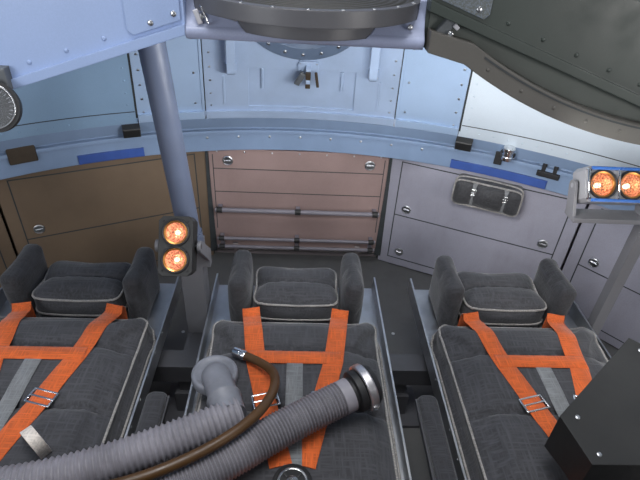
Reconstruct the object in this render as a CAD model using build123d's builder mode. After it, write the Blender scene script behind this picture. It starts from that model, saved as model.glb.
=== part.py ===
"""Crew cabin bay of a space capsule: the head end of the three couches under the crew hatch.

Sizes are in mm. The origin is on the capsule's axis at the underside of the deck, +Y points at
the crew hatch, +X to the right as seen from the couches' feet, and +Z at the capsule's apex.
Azimuths are measured about the axis from +Y towards +X, in degrees.
"""

from build123d import *
import os
from math import cos, pi, radians, sin, tan

os.makedirs("parts", exist_ok=True)

# Deck
deck_r = 1830
deck_t = 60
deck_rim_r = 1770
deck_bolt_r = 1800
deck_bolts = 12

# Girth ring and the conical wall above it
ring_r = 1550
ring_low = 550
ledge_z = 620
ring_top = 679
cone_angle = 25
wall_t = 33
wall_top = 1500
half_span = 85.75
rib_proud = 30
rib_width = 24

# Lockers under the ring, one flat front each
locker_pitch = 24.5
locker_face = 1556
locker_top = 548
skin_in = 1740
skin_t = 24

# Crew hatch, which opens outward about two hinges on its left edge
hatch_half = 11.9
hatch_low = 684.5
hatch_high = 1329
hatch_gap = 0.25
swing_room = 18
opening_half = hatch_half + hatch_gap
surround_half = 20.0
lip_top = 713
hinge_az = -(hatch_half + hatch_gap / 2)
hinge_out = (wall_t + 19) * cos(radians(cone_angle))
door_hinges = (860, 1180)
knuckle = 44
knuckle_r = 13
pin_r = 6
leaf_length = 62
leaf_t = 12
leaf_drop = 13
window_z = 1087
window_r = 150
bezel_r = 190

# Overhead console: one front plane, a level middle and two wings
console_y = 720
console_back = 1010
console_z = 1115
console_half = 190
wing_end = 720
wing_slope = 0.34

# Couches
couch_x = {"left": -600, "centre": 0, "right": 600}
pan_width = 490
pan_z = 290
pad_gap = 0.3
pad_t = 106
beam_y = (230, 820)

# Hip and knee hinges of the leg supports
hip_y = 110
hip_z = 300
knee_z = 780


def wall_r(z):
    """Radius of the wall's inner face at a height."""
    return ring_r - (z - ledge_z) * tan(radians(cone_angle))


def radial_plane(azimuth):
    """Upright plane through the capsule's axis, local x outward at the azimuth, local y up."""
    a = radians(azimuth)
    return Plane(origin=(0, 0, 0), x_dir=(sin(a), cos(a), 0), z_dir=(cos(a), -sin(a), 0))


def facet_plane(azimuth, z):
    """Level plane, local x to the right along a locker's front and local y outward."""
    a = radians(azimuth)
    return Plane(origin=(0, 0, z), x_dir=(cos(a), -sin(a), 0), z_dir=(0, 0, 1))


def wall_plane(azimuth, z, outside=0):
    """Plane on the wall's inner face, local y up the slope and local z into the cabin."""
    a = radians(azimuth)
    r = wall_r(z)
    lean = radians(cone_angle)
    outward = Vector(sin(a) * cos(lean), cos(a) * cos(lean), sin(lean))
    origin = Vector(r * sin(a), r * cos(a), z) + outward * outside
    return Plane(origin=origin, x_dir=(cos(a), -sin(a), 0), z_dir=-outward)


def sector(outline, az_from, az_to):
    """Solid swept about the axis between two azimuths by a closed (radius, height) outline."""
    with BuildPart() as swept:
        with BuildSketch(radial_plane(az_to)):
            with BuildLine():
                Polyline(*outline, close=True)
            make_face()
        revolve(axis=Axis.Z, revolution_arc=az_to - az_from)
    return swept.part


def cone_band(z0, z1, inner, outer, az_from, az_to):
    """Slab that follows the conical wall, between two offsets outward from its inner face."""
    low, high = wall_r(z0), wall_r(z1)
    outline = [(low + inner, z0), (high + inner, z1), (high + outer, z1), (low + outer, z0)]
    return sector(outline, az_from, az_to)


def bar(a, b, r):
    """Round bar of radius r between two points."""
    start, end = Vector(*a), Vector(*b)
    with BuildPart() as rod:
        with BuildSketch(Plane(origin=start, z_dir=end - start)):
            Circle(r)
        extrude(amount=(end - start).length)
    return rod.part


def block(x, y, z):
    """Box from three (low, high) pairs."""
    size = [pair[1] - pair[0] for pair in (x, y, z)]
    middle = [(pair[0] + pair[1]) / 2 for pair in (x, y, z)]
    with BuildPart(Plane(origin=middle)) as box:
        Box(*size)
    return box.part


def hose(route, diameter):
    """Tube along straight runs joined by arcs that are as large as the runs allow."""
    points = [Vector(*p) for p in route]
    radii = []
    for before, corner, after in zip(points, points[1:], points[2:]):
        run_in, run_out = corner - before, after - corner
        turn = radians(run_in.get_angle(run_out))
        radii.append(0.45 * min(run_in.length, run_out.length) / tan(turn / 2))
    with BuildPart() as tube:
        with BuildLine() as path:
            FilletPolyline(*points, radius=radii)
        with BuildSketch(Plane(origin=path.line @ 0, z_dir=path.line % 0)):
            Circle(diameter / 2)
        sweep()
    length = sum(edge.length for edge in path.edges())
    ideal = length * pi * diameter**2 / 4
    print("hose", round(length), "mm, smallest radius", round(min(radii)), "mm,",
          "volume ratio", round(tube.part.volume / ideal, 4))
    return tube.part


def save(part, name):
    """Label a finished piece and write it."""
    part.label = name
    export_step(part, f"parts/{name}.step")


# Deck: a plate on a rim, a hub and radial ribs, open underneath
plate_t = 14
hub_r = 800
rib_t = 24
with BuildPart() as deck:
    with BuildSketch():
        Circle(deck_r)
    extrude(amount=deck_t)
    with BuildSketch() as pockets:
        Circle(deck_rim_r - 60)
        Circle(hub_r, mode=Mode.SUBTRACT)
        with PolarLocations(0, 6):
            Rectangle(2 * deck_r, rib_t, mode=Mode.SUBTRACT)
    extrude(amount=deck_t - plate_t, mode=Mode.SUBTRACT)
    with BuildSketch() as hub_pockets:
        Circle(hub_r - 40)
        with PolarLocations(0, 3):
            Rectangle(2 * deck_r, rib_t, mode=Mode.SUBTRACT)
    extrude(amount=deck_t - plate_t, mode=Mode.SUBTRACT)
    with PolarLocations(deck_bolt_r, deck_bolts, start_angle=15):
        Hole(radius=7)
save(deck.part, "deck")

# Lower skin behind the lockers, with a foot flange and a hoop
skin_out = skin_in + skin_t
with BuildPart() as lower_skin:
    add(sector([(skin_in, deck_t), (skin_out, deck_t), (skin_out, ring_low), (skin_in, ring_low)],
               -half_span, half_span))
    for z0, z1, proud in ((deck_t, deck_t + 12, 14), (300, 318, 12)):
        add(sector([(skin_out - 1, z0), (skin_out + proud, z0), (skin_out + proud, z1),
                    (skin_out - 1, z1)], -half_span, half_span))
save(lower_skin.part, "lower_skin")

# Girth ring: an open channel with a beaded ledge inside and a sloped shoulder outside
web_t = 25
groove_r = ring_r + 6
shoulder = wall_r(ring_top) + wall_t
with BuildPart() as girth_ring:
    add(sector([
        (ring_r, ring_low), (ring_r, ledge_z - 6), (ring_r - 9, ledge_z - 4),
        (ring_r - 9, ledge_z + 7), (groove_r, ledge_z + 9), (groove_r, ledge_z + 19),
        (wall_r(ledge_z + 21), ledge_z + 21), (wall_r(ring_top), ring_top),
        (shoulder + 30, ring_top), (skin_out, 640), (skin_out, ring_low),
        (skin_out - 12, ring_low), (skin_out - 12, 600), (ring_r + web_t, 600),
        (ring_r + web_t, ring_low)], -half_span, half_span))
save(girth_ring.part, "girth_ring")

# Wall panels left and right, each one sweep with a hoop outside, and upright longerons
wall_gap = 0.1
hoop = (1080, 1104)
with BuildPart() as longeron:
    with BuildSketch(radial_plane(0)):
        with BuildLine():
            Polyline(*[(wall_r(z) + outward, z) for outward, z in (
                (wall_t / 2, ring_top), (wall_t / 2, wall_top), (wall_t + rib_proud, wall_top),
                (wall_t + rib_proud, ring_top))], close=True)
        make_face()
    extrude(amount=rib_width / 2, both=True)

for side, sign in (("left", -1), ("right", 1)):
    with BuildPart() as wall:
        near, far = sorted((sign * (surround_half + wall_gap), sign * half_span))
        add(sector([(wall_r(z) + outward, z) for outward, z in (
            (0, ring_top), (0, wall_top), (wall_t, wall_top), (wall_t, hoop[1]),
            (wall_t + rib_proud, hoop[1]), (wall_t + rib_proud, hoop[0]), (wall_t, hoop[0]),
            (wall_t, ring_top))], near, far))
        for azimuth in (84.9, 64, 42, 22):
            add(longeron.part.rotate(Axis.Z, -sign * azimuth))
    save(wall.part, f"wall_{side}")

# Top ring, which closes the wall and carries the console
top_ring_in = 1060
with BuildPart() as top_ring:
    add(sector([(top_ring_in, wall_top), (wall_r(wall_top) + wall_t, wall_top),
                (wall_r(wall_top) + wall_t, wall_top + 45), (top_ring_in, wall_top + 45)],
               -half_span, half_span))
save(top_ring.part, "top_ring")

# Dark blocks on the ring at the surround's lower corners
with BuildPart() as corner_blocks:
    for azimuth in (-21, 21):
        with BuildSketch(wall_plane(azimuth, 661, outside=-0.4)):
            Rectangle(54, 38)
        extrude(amount=26)
    chamfer(corner_blocks.faces().filter_by(GeomType.PLANE).sort_by(Axis.Y)[:2].edges(), 3)
save(corner_blocks.part, "corner_blocks")

# Padded blue edge strips on the ring's apron
strip_t = 6
with BuildPart() as ring_strips:
    for near, far in ((-27.5, -19.9), (19.9, 31.7)):
        add(sector([(ring_r - strip_t, 552), (ring_r, 552), (ring_r, 582),
                    (ring_r - strip_t, 582)], near, far))
save(ring_strips.part, "ring_strips")

# Round chrome latch on the ring's ledge
latch_az = 26.4
with BuildPart() as ring_latch:
    with BuildSketch(wall_plane(latch_az, 662, outside=-0.5)):
        Circle(25)
    extrude(amount=17)
    with BuildSketch(wall_plane(latch_az, 662, outside=-17)):
        Circle(18)
    extrude(amount=16)
save(ring_latch.part, "ring_latch")


def hinge_plane(z):
    """Plane across the hatch hinge's axis, local x to the right and local y out of the cabin."""
    at = wall_plane(hinge_az, z, outside=hinge_out)
    return Plane(origin=at.origin, x_dir=at.x_dir, z_dir=at.y_dir)


def hinge_leaf(sign):
    """Outline of a hinge knuckle and its leaf, drawn on the current sketch."""
    Circle(knuckle_r)
    with Locations((sign * leaf_length / 2, -leaf_drop)):
        Rectangle(leaf_length, leaf_t)


# Hatch door: a conical panel with a stepped window bore, and pockets on both faces
door_skin = 14
bezel_seat = 4
glass_seat = 14
with BuildPart() as hatch_door:
    add(cone_band(hatch_low, hatch_high, 0, wall_t, -hatch_half, hatch_half))
    add(cone_band(hatch_low, lip_top, -10, 1, -hatch_half, hatch_half))
    add(cone_band(hatch_low + 40, 850, door_skin, wall_t + 1, -hatch_half + 1.6, hatch_half - 1.6),
        mode=Mode.SUBTRACT)
    add(cone_band(728, 872, -1, 6, -6.6, 6.6), mode=Mode.SUBTRACT)
    for outside, radius in ((60, window_r - 7), (glass_seat, window_r), (bezel_seat, bezel_r)):
        with BuildSketch(wall_plane(0, window_z, outside=outside)):
            Circle(radius + 0.3)
        extrude(amount=outside + 40, mode=Mode.SUBTRACT)
    for z in door_hinges:
        with BuildSketch(hinge_plane(z)):
            hinge_leaf(1)
        extrude(amount=knuckle)
        with BuildSketch(hinge_plane(z).offset(-5)):
            Circle(pin_r + 0.06)
        extrude(amount=knuckle + 10, mode=Mode.SUBTRACT)
save(hatch_door.part, "hatch_door")

# Hatch surround: two legs and a header, with a moulding along the sill and the hinges' pins
with BuildPart() as hatch_surround:
    for sign in (-1, 1):
        near, far = sorted((sign * opening_half, sign * surround_half))
        add(cone_band(ring_top, wall_top, 0, wall_t, near, far))
        add(cone_band(ring_top + 5, lip_top, -10, 1, near, far))
        near, far = sorted((sign * (opening_half + 4), sign * (opening_half + 5)))
        add(cone_band(ring_top, wall_top, wall_t - 1, wall_t + rib_proud, near, far))
    add(cone_band(hatch_high + swing_room, wall_top, 0, wall_t, -surround_half, surround_half))
    add(cone_band(hatch_high + 26, hatch_high + 50, wall_t - 1, wall_t + rib_proud,
                  -surround_half, surround_half))
    for z in door_hinges:
        for start in (-26, knuckle + 1):
            with BuildSketch(hinge_plane(z).offset(start)):
                hinge_leaf(-1)
            extrude(amount=25)
        with BuildSketch(hinge_plane(z).offset(-26)):
            Circle(pin_r)
        extrude(amount=knuckle + 52)
save(hatch_surround.part, "hatch_surround")

# Window bezel and glass
with BuildPart() as window_bezel:
    with BuildSketch(wall_plane(0, window_z, outside=bezel_seat)):
        Circle(bezel_r)
    extrude(amount=18)
    with BuildSketch(wall_plane(0, window_z, outside=bezel_seat)):
        Circle(window_r - 12)
    extrude(amount=18, taper=-35, mode=Mode.SUBTRACT)
save(window_bezel.part, "window_bezel")

with BuildPart() as window_glass:
    with BuildSketch(wall_plane(0, window_z, outside=glass_seat)):
        Circle(window_r)
    extrude(amount=10)
save(window_glass.part, "window_glass")

# Grab handles on the hatch door: flat bars bent to a U, with a foot plate at each end
handle_az = 8.7
handle_z = 948
handle_reach = 80
handle_proud = 44
handle_w, handle_t = 24, 10
with BuildPart() as hatch_handles:
    for azimuth in (-handle_az, handle_az):
        base = wall_plane(azimuth, handle_z, outside=-0.6)
        side = Plane(origin=base.origin, x_dir=base.y_dir, z_dir=base.x_dir)
        half = handle_reach + handle_t / 2
        with BuildSketch(side):
            with BuildLine():
                outer = FilletPolyline((-half, 0), (-half, handle_proud), (half, handle_proud),
                                       (half, 0), radius=24)
                inner = FilletPolyline((-half + handle_t, 0), (-half + handle_t, handle_proud - handle_t),
                                       (half - handle_t, handle_proud - handle_t),
                                       (half - handle_t, 0), radius=24 - handle_t)
                Line(outer @ 0, inner @ 0)
                Line(outer @ 1, inner @ 1)
            make_face()
        extrude(amount=handle_w / 2, both=True)
        with BuildSketch(base):
            with Locations((0, -handle_reach), (0, handle_reach)):
                Rectangle(34, 34)
        extrude(amount=5)
save(hatch_handles.part, "hatch_handles")

# Latch under the window: a base plate in the pocket with a curved hook
with BuildPart() as hatch_latch:
    base = wall_plane(0.7, 874, outside=-0.6)
    with BuildSketch(base):
        RectangleRounded(62, 66, 8)
    extrude(amount=8)
    with BuildSketch(Plane(origin=base.origin - base.x_dir * 7, x_dir=base.y_dir,
                           z_dir=base.x_dir)):
        with BuildLine():
            Polyline((24, 7), (24, 34), (14, 34))
            ThreePointArc((14, 34), (-20, 44), (-42, 24))
            Line((-42, 24), (-36, 18))
            ThreePointArc((-36, 18), (-16, 32), (8, 20))
            Polyline((8, 20), (8, 7), (24, 7))
        make_face()
    extrude(amount=14)
save(hatch_latch.part, "hatch_latch")

# Locker with a door in the middle of the lower wall, then the fixed modules beside it
locker_clear = 2.5
locker_front = locker_face + 24
locker_back = skin_in * cos(radians(locker_pitch / 2)) - 3
locker_t = 12
half_slope = tan(radians(locker_pitch / 2))


def locker_outline(near, far, clear):
    """Trapezoid between two distances from the axis, drawn on the current sketch."""
    a, b = near * half_slope - clear, far * half_slope - clear
    Polygon((-a, near), (a, near), (b, far), (-b, far), align=None)


# The middle door hangs on two pins in the box's ears
door_t = 18
door_low = 110
door_high = 543
locker_hinge_y = locker_face + door_t / 2
locker_hinge_z = door_low + door_t / 2
ear_x = 250
ear_t = 20
locker_pin_r = 5
with BuildPart() as locker_box:
    with BuildSketch(facet_plane(0, deck_t)):
        locker_outline(locker_front, locker_back, locker_clear)
    extrude(amount=locker_top - deck_t)
    with BuildSketch(facet_plane(0, deck_t + locker_t)):
        locker_outline(locker_front - 1, locker_back - locker_t, locker_clear + locker_t)
    extrude(amount=locker_top - deck_t - 2 * locker_t, mode=Mode.SUBTRACT)
    for x in (-ear_x, ear_x):
        with BuildSketch(Plane.YZ.offset(x - ear_t / 2)):
            with Locations((locker_hinge_y, locker_hinge_z)):
                Circle(door_t / 2)
            with Locations(((locker_hinge_y + locker_front + 1) / 2, locker_hinge_z)):
                Rectangle(locker_front + 1 - locker_hinge_y, door_t)
            with Locations((locker_hinge_y, locker_hinge_z)):
                Circle(locker_pin_r + 0.05, mode=Mode.SUBTRACT)
        extrude(amount=ear_t)
        add(block((x - ear_t / 2, x + ear_t / 2), (locker_hinge_y + 6, locker_front + 4),
                  (deck_t + 2, door_low + 1)))
save(locker_box.part, "locker_box")

with BuildPart() as locker_fixed:
    for step in (-3, -2, -1, 1, 2, 3):
        azimuth = step * locker_pitch
        with BuildSketch(facet_plane(azimuth, deck_t)):
            locker_outline(locker_front, locker_back, locker_clear)
        extrude(amount=locker_top - deck_t)
        with BuildSketch(facet_plane(azimuth, deck_t + 6)):
            locker_outline(locker_face, locker_front + 1, 4.5)
        extrude(amount=locker_top - deck_t - 6)
save(locker_fixed.part, "locker_fixed")

with BuildPart() as locker_door:
    with BuildSketch(facet_plane(0, locker_hinge_z)):
        locker_outline(locker_face, locker_face + door_t, 7)
    extrude(amount=door_high - locker_hinge_z)
    with BuildSketch(Plane.YZ.offset(-ear_x - 60)):
        with Locations((locker_hinge_y, locker_hinge_z)):
            Circle(door_t / 2)
    extrude(amount=2 * ear_x + 120)
    for x in (-ear_x, ear_x):
        add(block((x - ear_t / 2 - 1, x + ear_t / 2 + 1), (locker_face - 1, locker_front),
                  (door_low - 1, locker_hinge_z + 14)), mode=Mode.SUBTRACT)
    add(bar((-ear_x - ear_t, locker_hinge_y, locker_hinge_z),
            (ear_x + ear_t, locker_hinge_y, locker_hinge_z), locker_pin_r))
save(locker_door.part, "locker_door")

# Horizontal rails on the locker door: height, rail radius, distance of the rail from the door
locker_rails = ((305, 9, 34), (171, 7, 30), (132, 7, 30))
rail_half = 315
with BuildPart() as door_rails:
    for z, r, stand in locker_rails:
        y = locker_face - stand
        add(bar((-rail_half, y, z), (rail_half, y, z), r))
        for x in (-rail_half + 16, 0, rail_half - 16):
            add(block((x - 8, x + 8), (y, locker_face - 0.3), (z - 6, z + 6)))
save(door_rails.part, "door_rails")

# Stowage bag on the module to the right of the door
bag_x = (-95, 140)
bag_z = (440, 544)
bag_depth = 82
with BuildPart() as stowage_bag:
    with BuildSketch(facet_plane(locker_pitch, bag_z[0])) as bag_plan:
        with Locations(((bag_x[0] + bag_x[1]) / 2, locker_face - 0.4 - bag_depth / 2)):
            Rectangle(bag_x[1] - bag_x[0], bag_depth)
        chamfer(bag_plan.vertices(), 22)
    extrude(amount=bag_z[1] - bag_z[0])
    chamfer(stowage_bag.faces().sort_by(Axis.Z)[-1].edges(), 16)
save(stowage_bag.part, "stowage_bag")


def front_plane(y):
    """Upright plane across the cabin at a distance y, local x to the right and local y up."""
    return Plane.XZ.offset(-y)


def hanger(x, low_y, low_z, high_y):
    """Flat bar from a console housing up to the top ring, which it meets between high_y."""
    with BuildPart() as bar_part:
        with BuildSketch(Plane.YZ.offset(x - 6)):
            Polygon((low_y[0], low_z), (low_y[1], low_z), (high_y[1], wall_top),
                    (high_y[0], wall_top), align=None)
        extrude(amount=12)
    return bar_part.part


def upright(outline, y_front, y_back):
    """Solid from an (x, z) outline, running back from y_front to y_back."""
    with BuildPart() as solid:
        with BuildSketch(front_plane(y_front)):
            with BuildLine():
                Polyline(*outline, close=True)
            make_face()
        extrude(amount=y_front - y_back)
    return solid.part


# Middle of the overhead console: a rolled lower lip and a top that slopes up to the rear
drum_r = 200
drum_neck_r = 150
drum_at = (0, 832)
drum_floor = 1130
drum_low = 1158
drum_top = 1182
with BuildPart() as console_beam:
    with BuildSketch(Plane.YZ.offset(-console_half)):
        with BuildLine():
            Polyline((console_back, console_z), (console_y + 4, console_z))
            ThreePointArc((console_y + 4, console_z), (console_y - 5, console_z + 9),
                          (console_y + 1, console_z + 20))
            ThreePointArc((console_y + 1, console_z + 20), (console_y + 16, console_z + 42),
                          (console_y + 22, console_z + 70))
            Polyline((console_y + 22, console_z + 70), (console_y + 60, console_z + 105),
                     (console_back, console_z + 125), (console_back, console_z))
        make_face()
    extrude(amount=2 * console_half)
    for radius, z in ((drum_neck_r, drum_floor), (drum_r, drum_low)):
        with BuildSketch(Plane.XY.offset(z)):
            with Locations(drum_at):
                Circle(radius + 0.3)
        extrude(amount=200, mode=Mode.SUBTRACT)
    for x in (-165, 165):
        add(hanger(x, (930, 1000), 1225, (1065, 1112)))
save(console_beam.part, "console_beam")

# Round housing in the console, a broad rim over a narrower neck with a shallow well on top
with BuildPart() as console_drum:
    for radius, z0, z1 in ((drum_neck_r, drum_floor, drum_low), (drum_r, drum_low, drum_top)):
        with BuildSketch(Plane.XY.offset(z0)):
            with Locations(drum_at):
                Circle(radius)
        extrude(amount=z1 - z0)
    with BuildSketch(Plane.XY.offset(drum_top - 8)):
        with Locations(drum_at):
            Circle(drum_r - 14)
    extrude(amount=8, mode=Mode.SUBTRACT)
save(console_drum.part, "console_drum")

# Left wing: a flat housing whose lower edge slopes down to the side, with a folded lip
rim_room = bar((*drum_at, drum_low - 0.3), (*drum_at, drum_low + 200), drum_r + 0.3)
lip_h = 16
lip_proud = 6
left_z = 1122
run = wing_end - console_half
drop = run * wing_slope
with BuildPart() as console_wing_left:
    add(upright([(-console_half - 0.3, left_z), (-wing_end, left_z - drop),
                 (-wing_end, 1150), (-console_half - 0.3, 1240)], console_y, console_back))
    add(upright([(-console_half - 0.3, left_z), (-wing_end, left_z - drop),
                 (-wing_end, left_z - drop + lip_h), (-console_half - 0.3, left_z + lip_h)],
                console_y - lip_proud, console_y + 1))
    add(rim_room, mode=Mode.SUBTRACT)
    add(hanger(-560, (900, 980), 1170, (925, 980)))
save(console_wing_left.part, "console_wing_left")

# Right wing: the same face set higher, over a recess that runs down to the curved cowl
right_z = 1175
recess_y = 15
cowl_t = 33
with BuildPart() as console_wing_right:
    add(upright([(console_half + 0.3, right_z), (wing_end, right_z - drop),
                 (wing_end, 1170), (console_half + 0.3, 1262)], console_y, console_back))
    add(upright([(console_half + 0.3, right_z), (wing_end, right_z - drop),
                 (wing_end, right_z - drop + lip_h), (console_half + 0.3, right_z + lip_h)],
                console_y - lip_proud, console_y + 1))
    with BuildSketch(front_plane(console_y + recess_y)):
        with BuildLine():
            Line((console_half + 0.3, 1118), (258, 1100))
            ThreePointArc((258, 1100), (405, 1027), (640, 969))
            Polyline((640, 969), (wing_end, 955), (wing_end, right_z - drop + 10),
                     (console_half + 0.3, right_z + 10), (console_half + 0.3, 1118))
        make_face()
    extrude(amount=console_y + recess_y - console_back)
    add(rim_room, mode=Mode.SUBTRACT)
    add(hanger(560, (900, 980), 1190, (925, 980)))
save(console_wing_right.part, "console_wing_right")

# Curved cowl rail along the right wing's lower edge
with BuildPart() as console_cowl:
    with BuildSketch(front_plane(console_y - 14)):
        with BuildLine():
            Line((console_half + 6, 1115), (258, 1100))
            ThreePointArc((258, 1100), (405, 1027), (640, 969))
            Polyline((640, 969), (wing_end, 952), (wing_end, 952 + cowl_t), (640, 969 + cowl_t))
            ThreePointArc((640, 969 + cowl_t), (412, 1027 + cowl_t), (270, 1098 + cowl_t))
            Polyline((270, 1098 + cowl_t), (console_half + 6, 1115 + cowl_t),
                     (console_half + 6, 1115))
        make_face()
    extrude(amount=-(recess_y + 14 - 0.3))
save(console_cowl.part, "console_cowl")

# Cover plates over the joints between the console's middle and its wings
plate = 3
with BuildPart() as cover_plates:
    add(upright([(-196, 1143), (-272, 1117), (-281, 1124), (-281, 1196), (-196, 1222)],
                console_y - plate, console_y))
    add(upright([(196, 1195), (278, 1167), (286, 1174), (286, 1208), (196, 1238)],
                console_y - plate, console_y))
save(cover_plates.part, "cover_plates")

# Instrument panel under the console's middle: bezels by (x, y, radius) and switch guards
bezels = ((-110, 880, 44), (0, 880, 44), (110, 880, 44))
with BuildPart() as console_face:
    add(block((-178, 178), (742, 998), (console_z - 4, console_z)))
    for x, y, r in bezels:
        with BuildSketch(Plane.XY.offset(console_z - 12)):
            with Locations((x, y)):
                Circle(r)
                Circle(r - 6, mode=Mode.SUBTRACT)
        extrude(amount=9)
    for row in (780, 810, 945, 975):
        for column in range(-4, 5):
            add(block((column * 38 - 6, column * 38 + 6), (row - 7, row + 7),
                      (console_z - 14, console_z - 3)))
save(console_face.part, "console_face")

# Strut between the lamp post and the left wing
strut_low = (-276, 947, 560)
strut_high = (-308, 923, 1110)
strut_r = 28
with BuildPart() as strut:
    add(bar(strut_low, strut_high, strut_r))
    add(bar(strut_low, (-277.7, 945.7, 590), strut_r + 4))
    with BuildSketch(Plane(origin=(-console_half, 0, left_z), x_dir=(0, 1, 0),
                           z_dir=(-wing_slope, 0, 1))):
        with Locations((925, 0)):
            Rectangle(400, 800)
    extrude(amount=200, mode=Mode.SUBTRACT)
    add(block((-330, -220), (900, 990), (540, 560)), mode=Mode.SUBTRACT)
save(strut.part, "strut")

# Rack under the couches: two cross beams, a pair of rails for each couch, and legs to the deck
rack_half = 890
beam = 60
beam_z = 200
rail_w = 36
rail_end = 1085
leg_x = (-840, -300, 300, 840)
with BuildPart() as couch_rack:
    for y in beam_y:
        add(block((-rack_half, rack_half), (y - beam / 2, y + beam / 2), (beam_z, beam_z + beam)))
        for x in leg_x:
            add(block((x - 70, x + 70), (y - 70, y + 70), (deck_t, deck_t + 12)))
            add(block((x - 30, x + 30), (y - 30, y + 30), (deck_t + 11, 150)))
            add(block((x - 18, x + 18), (y - 18, y + 18), (149, beam_z + 1)))
    for x0 in couch_x.values():
        for x in (x0 - 150, x0 + 150):
            add(block((x - rail_w / 2, x + rail_w / 2), (150, rail_end), (beam_z + beam - 1, pan_z)))
            with BuildSketch(Plane.YZ.offset(x - rail_w / 2)):
                Polygon((hip_y - 8, hip_z + 16), (hip_y + 8, hip_z + 16), (hip_y + 16, hip_z + 8),
                        (160, pan_z), (160, beam_z + 8), (150, beam_z + 8), (hip_y - 16, hip_z - 8),
                        (hip_y - 16, hip_z + 8), align=None)
                with Locations((hip_y, hip_z)):
                    Circle(8.05, mode=Mode.SUBTRACT)
            extrude(amount=rail_w)
    for x, y in ((-276.5, 985), (885, 960)):
        add(block((x - 30, x + 30), (beam_y[1] + beam / 2 - 1, y), (beam_z + 15, beam_z + beam)))
save(couch_rack.part, "couch_rack")

# Couch pans, pads and headrests
pan_half = pan_width / 2
pan_flange = 5
back_near, back_far = 180, 885
head_near, head_far = 905, 1085
pad_low = pan_z + 6 + pad_gap
pad_top = pad_low + pad_t
with BuildPart() as back_pans:
    for x0 in couch_x.values():
        add(block((x0 - pan_half, x0 + pan_half), (164, 1090), (pan_z, pan_z + 6)))
        for side in (-1, 1):
            edge = x0 + side * (pan_half - pan_flange / 2)
            add(block((edge - pan_flange / 2, edge + pan_flange / 2), (164, 1090),
                      (pan_z, pan_z + 52)))
save(back_pans.part, "back_pans")

for name, x0 in couch_x.items():
    half = pan_half - pan_flange - pad_gap
    with BuildPart() as back_pad:
        add(block((x0 - half, x0 + half), (back_near, back_far), (pad_low, pad_top)))
        chamfer(back_pad.edges().filter_by(Axis.Z), 24)
        chamfer(back_pad.faces().sort_by(Axis.Z)[-1].edges(), 14)
    save(back_pad.part, f"back_pad_{name}")
    with BuildPart() as headrest:
        add(block((x0 - 150, x0 + 150), (head_near, head_far), (pad_low, pad_top + 8)))
        for side in (-1, 1):
            inner, outer = sorted((x0 + side * 128, x0 + side * 190))
            add(block((inner, outer), (head_near, head_far), (pad_low, pad_top + 52)))
        chamfer(headrest.faces().sort_by(Axis.Z)[-1].edges(), 10)
    save(headrest.part, f"headrest_{name}")

# Leg supports: seat pans that stand up from the hip hinge, their pads, and leg pans at the knee
seat_half = 230
seat_face = hip_y - 4
seat_low, seat_high = 322, 758
seat_t = 6
hip_x = 178
knee_y = 100
knee_r = 14
knee_x = 205
leg_half = 188
leg_end = -370
leg_z = knee_z - 3
for name, x0 in couch_x.items():
    with BuildPart() as seat_pan:
        add(block((x0 - seat_half, x0 + seat_half), (seat_face - seat_t, seat_face),
                  (seat_low, seat_high)))
        for side in (-1, 1):
            flange = x0 + side * (seat_half - 3)
            add(block((flange - 3, flange + 3), (seat_face - 34, seat_face - seat_t + 1),
                      (seat_low, seat_high)))
            hip = x0 + side * hip_x
            add(block((hip - 9, hip + 9), (hip_y - 13, hip_y + 13), (hip_z - 13, hip_z + 36)))
            add(bar((x0 + side * 134, hip_y, hip_z), (x0 + side * 186, hip_y, hip_z), 8))
            knee = x0 + side * knee_x
            add(block((knee - 7, knee + 7), (knee_y - 11, knee_y + 11), (knee_z - 32, knee_z + 11)))
            add(bar((x0 + side * 176, knee_y, knee_z), (x0 + side * 211, knee_y, knee_z), 7))
    save(seat_pan.part, f"seat_pan_{name}")

    with BuildPart() as seat_pad:
        add(block((x0 - 214, x0 + 214), (seat_face + pad_gap, seat_face + 54),
                  (seat_low + 26, seat_high - 8)))
        chamfer(seat_pad.edges().filter_by(Axis.Y), 22)
        chamfer(seat_pad.faces().sort_by(Axis.Y)[-1].edges(), 12)
    save(seat_pad.part, f"seat_pad_{name}")

    with BuildPart() as leg_pan:
        add(block((x0 - leg_half, x0 + leg_half), (leg_end, 68), (leg_z, leg_z + 6)))
        add(block((x0 - 150, x0 + 150), (leg_end, leg_end + 6), (leg_z, leg_z + 176)))
        for side in (-1, 1):
            flange = x0 + side * (leg_half - 3)
            add(block((flange - 3, flange + 3), (leg_end, 68), (leg_z, leg_z + 34)))
            knee = x0 + side * 186
            with BuildSketch(Plane.YZ.offset(knee - 8)):
                with Locations((knee_y, knee_z)):
                    Circle(knee_r)
                with Locations((knee_y - 22, knee_z)):
                    Rectangle(44, 14)
                with Locations((knee_y, knee_z)):
                    Circle(7.05, mode=Mode.SUBTRACT)
            extrude(amount=16)
    save(leg_pan.part, f"leg_pan_{name}")

# Armrests on posts from the front cross beam, level with the pads
arm_x = (-890, -300, 300, 870)
arm_top = 386
with BuildPart() as armrests:
    for x in arm_x:
        add(block((x - 15, x + 15), (beam_y[0] - 15, beam_y[0] + 15), (beam_z + beam, arm_top - 5)))
        add(block((x - 25, x + 25), (beam_y[0] - 15, 600), (arm_top - 14, arm_top)))
        with BuildSketch(Plane.YZ.offset(x - 5)):
            Polygon((beam_y[0] + 14, 290), (beam_y[0] + 14, 320), (420, arm_top - 13),
                    (450, arm_top - 13), align=None)
        extrude(amount=10)
save(armrests.part, "armrests")

with BuildPart() as arm_pads:
    for x in arm_x:
        add(block((x - 24, x + 24), (beam_y[0] + 20, 605), (arm_top + pad_gap, arm_top + 16)))
    chamfer(arm_pads.edges().filter_by(Axis.Z), 8)
save(arm_pads.part, "arm_pads")

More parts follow.
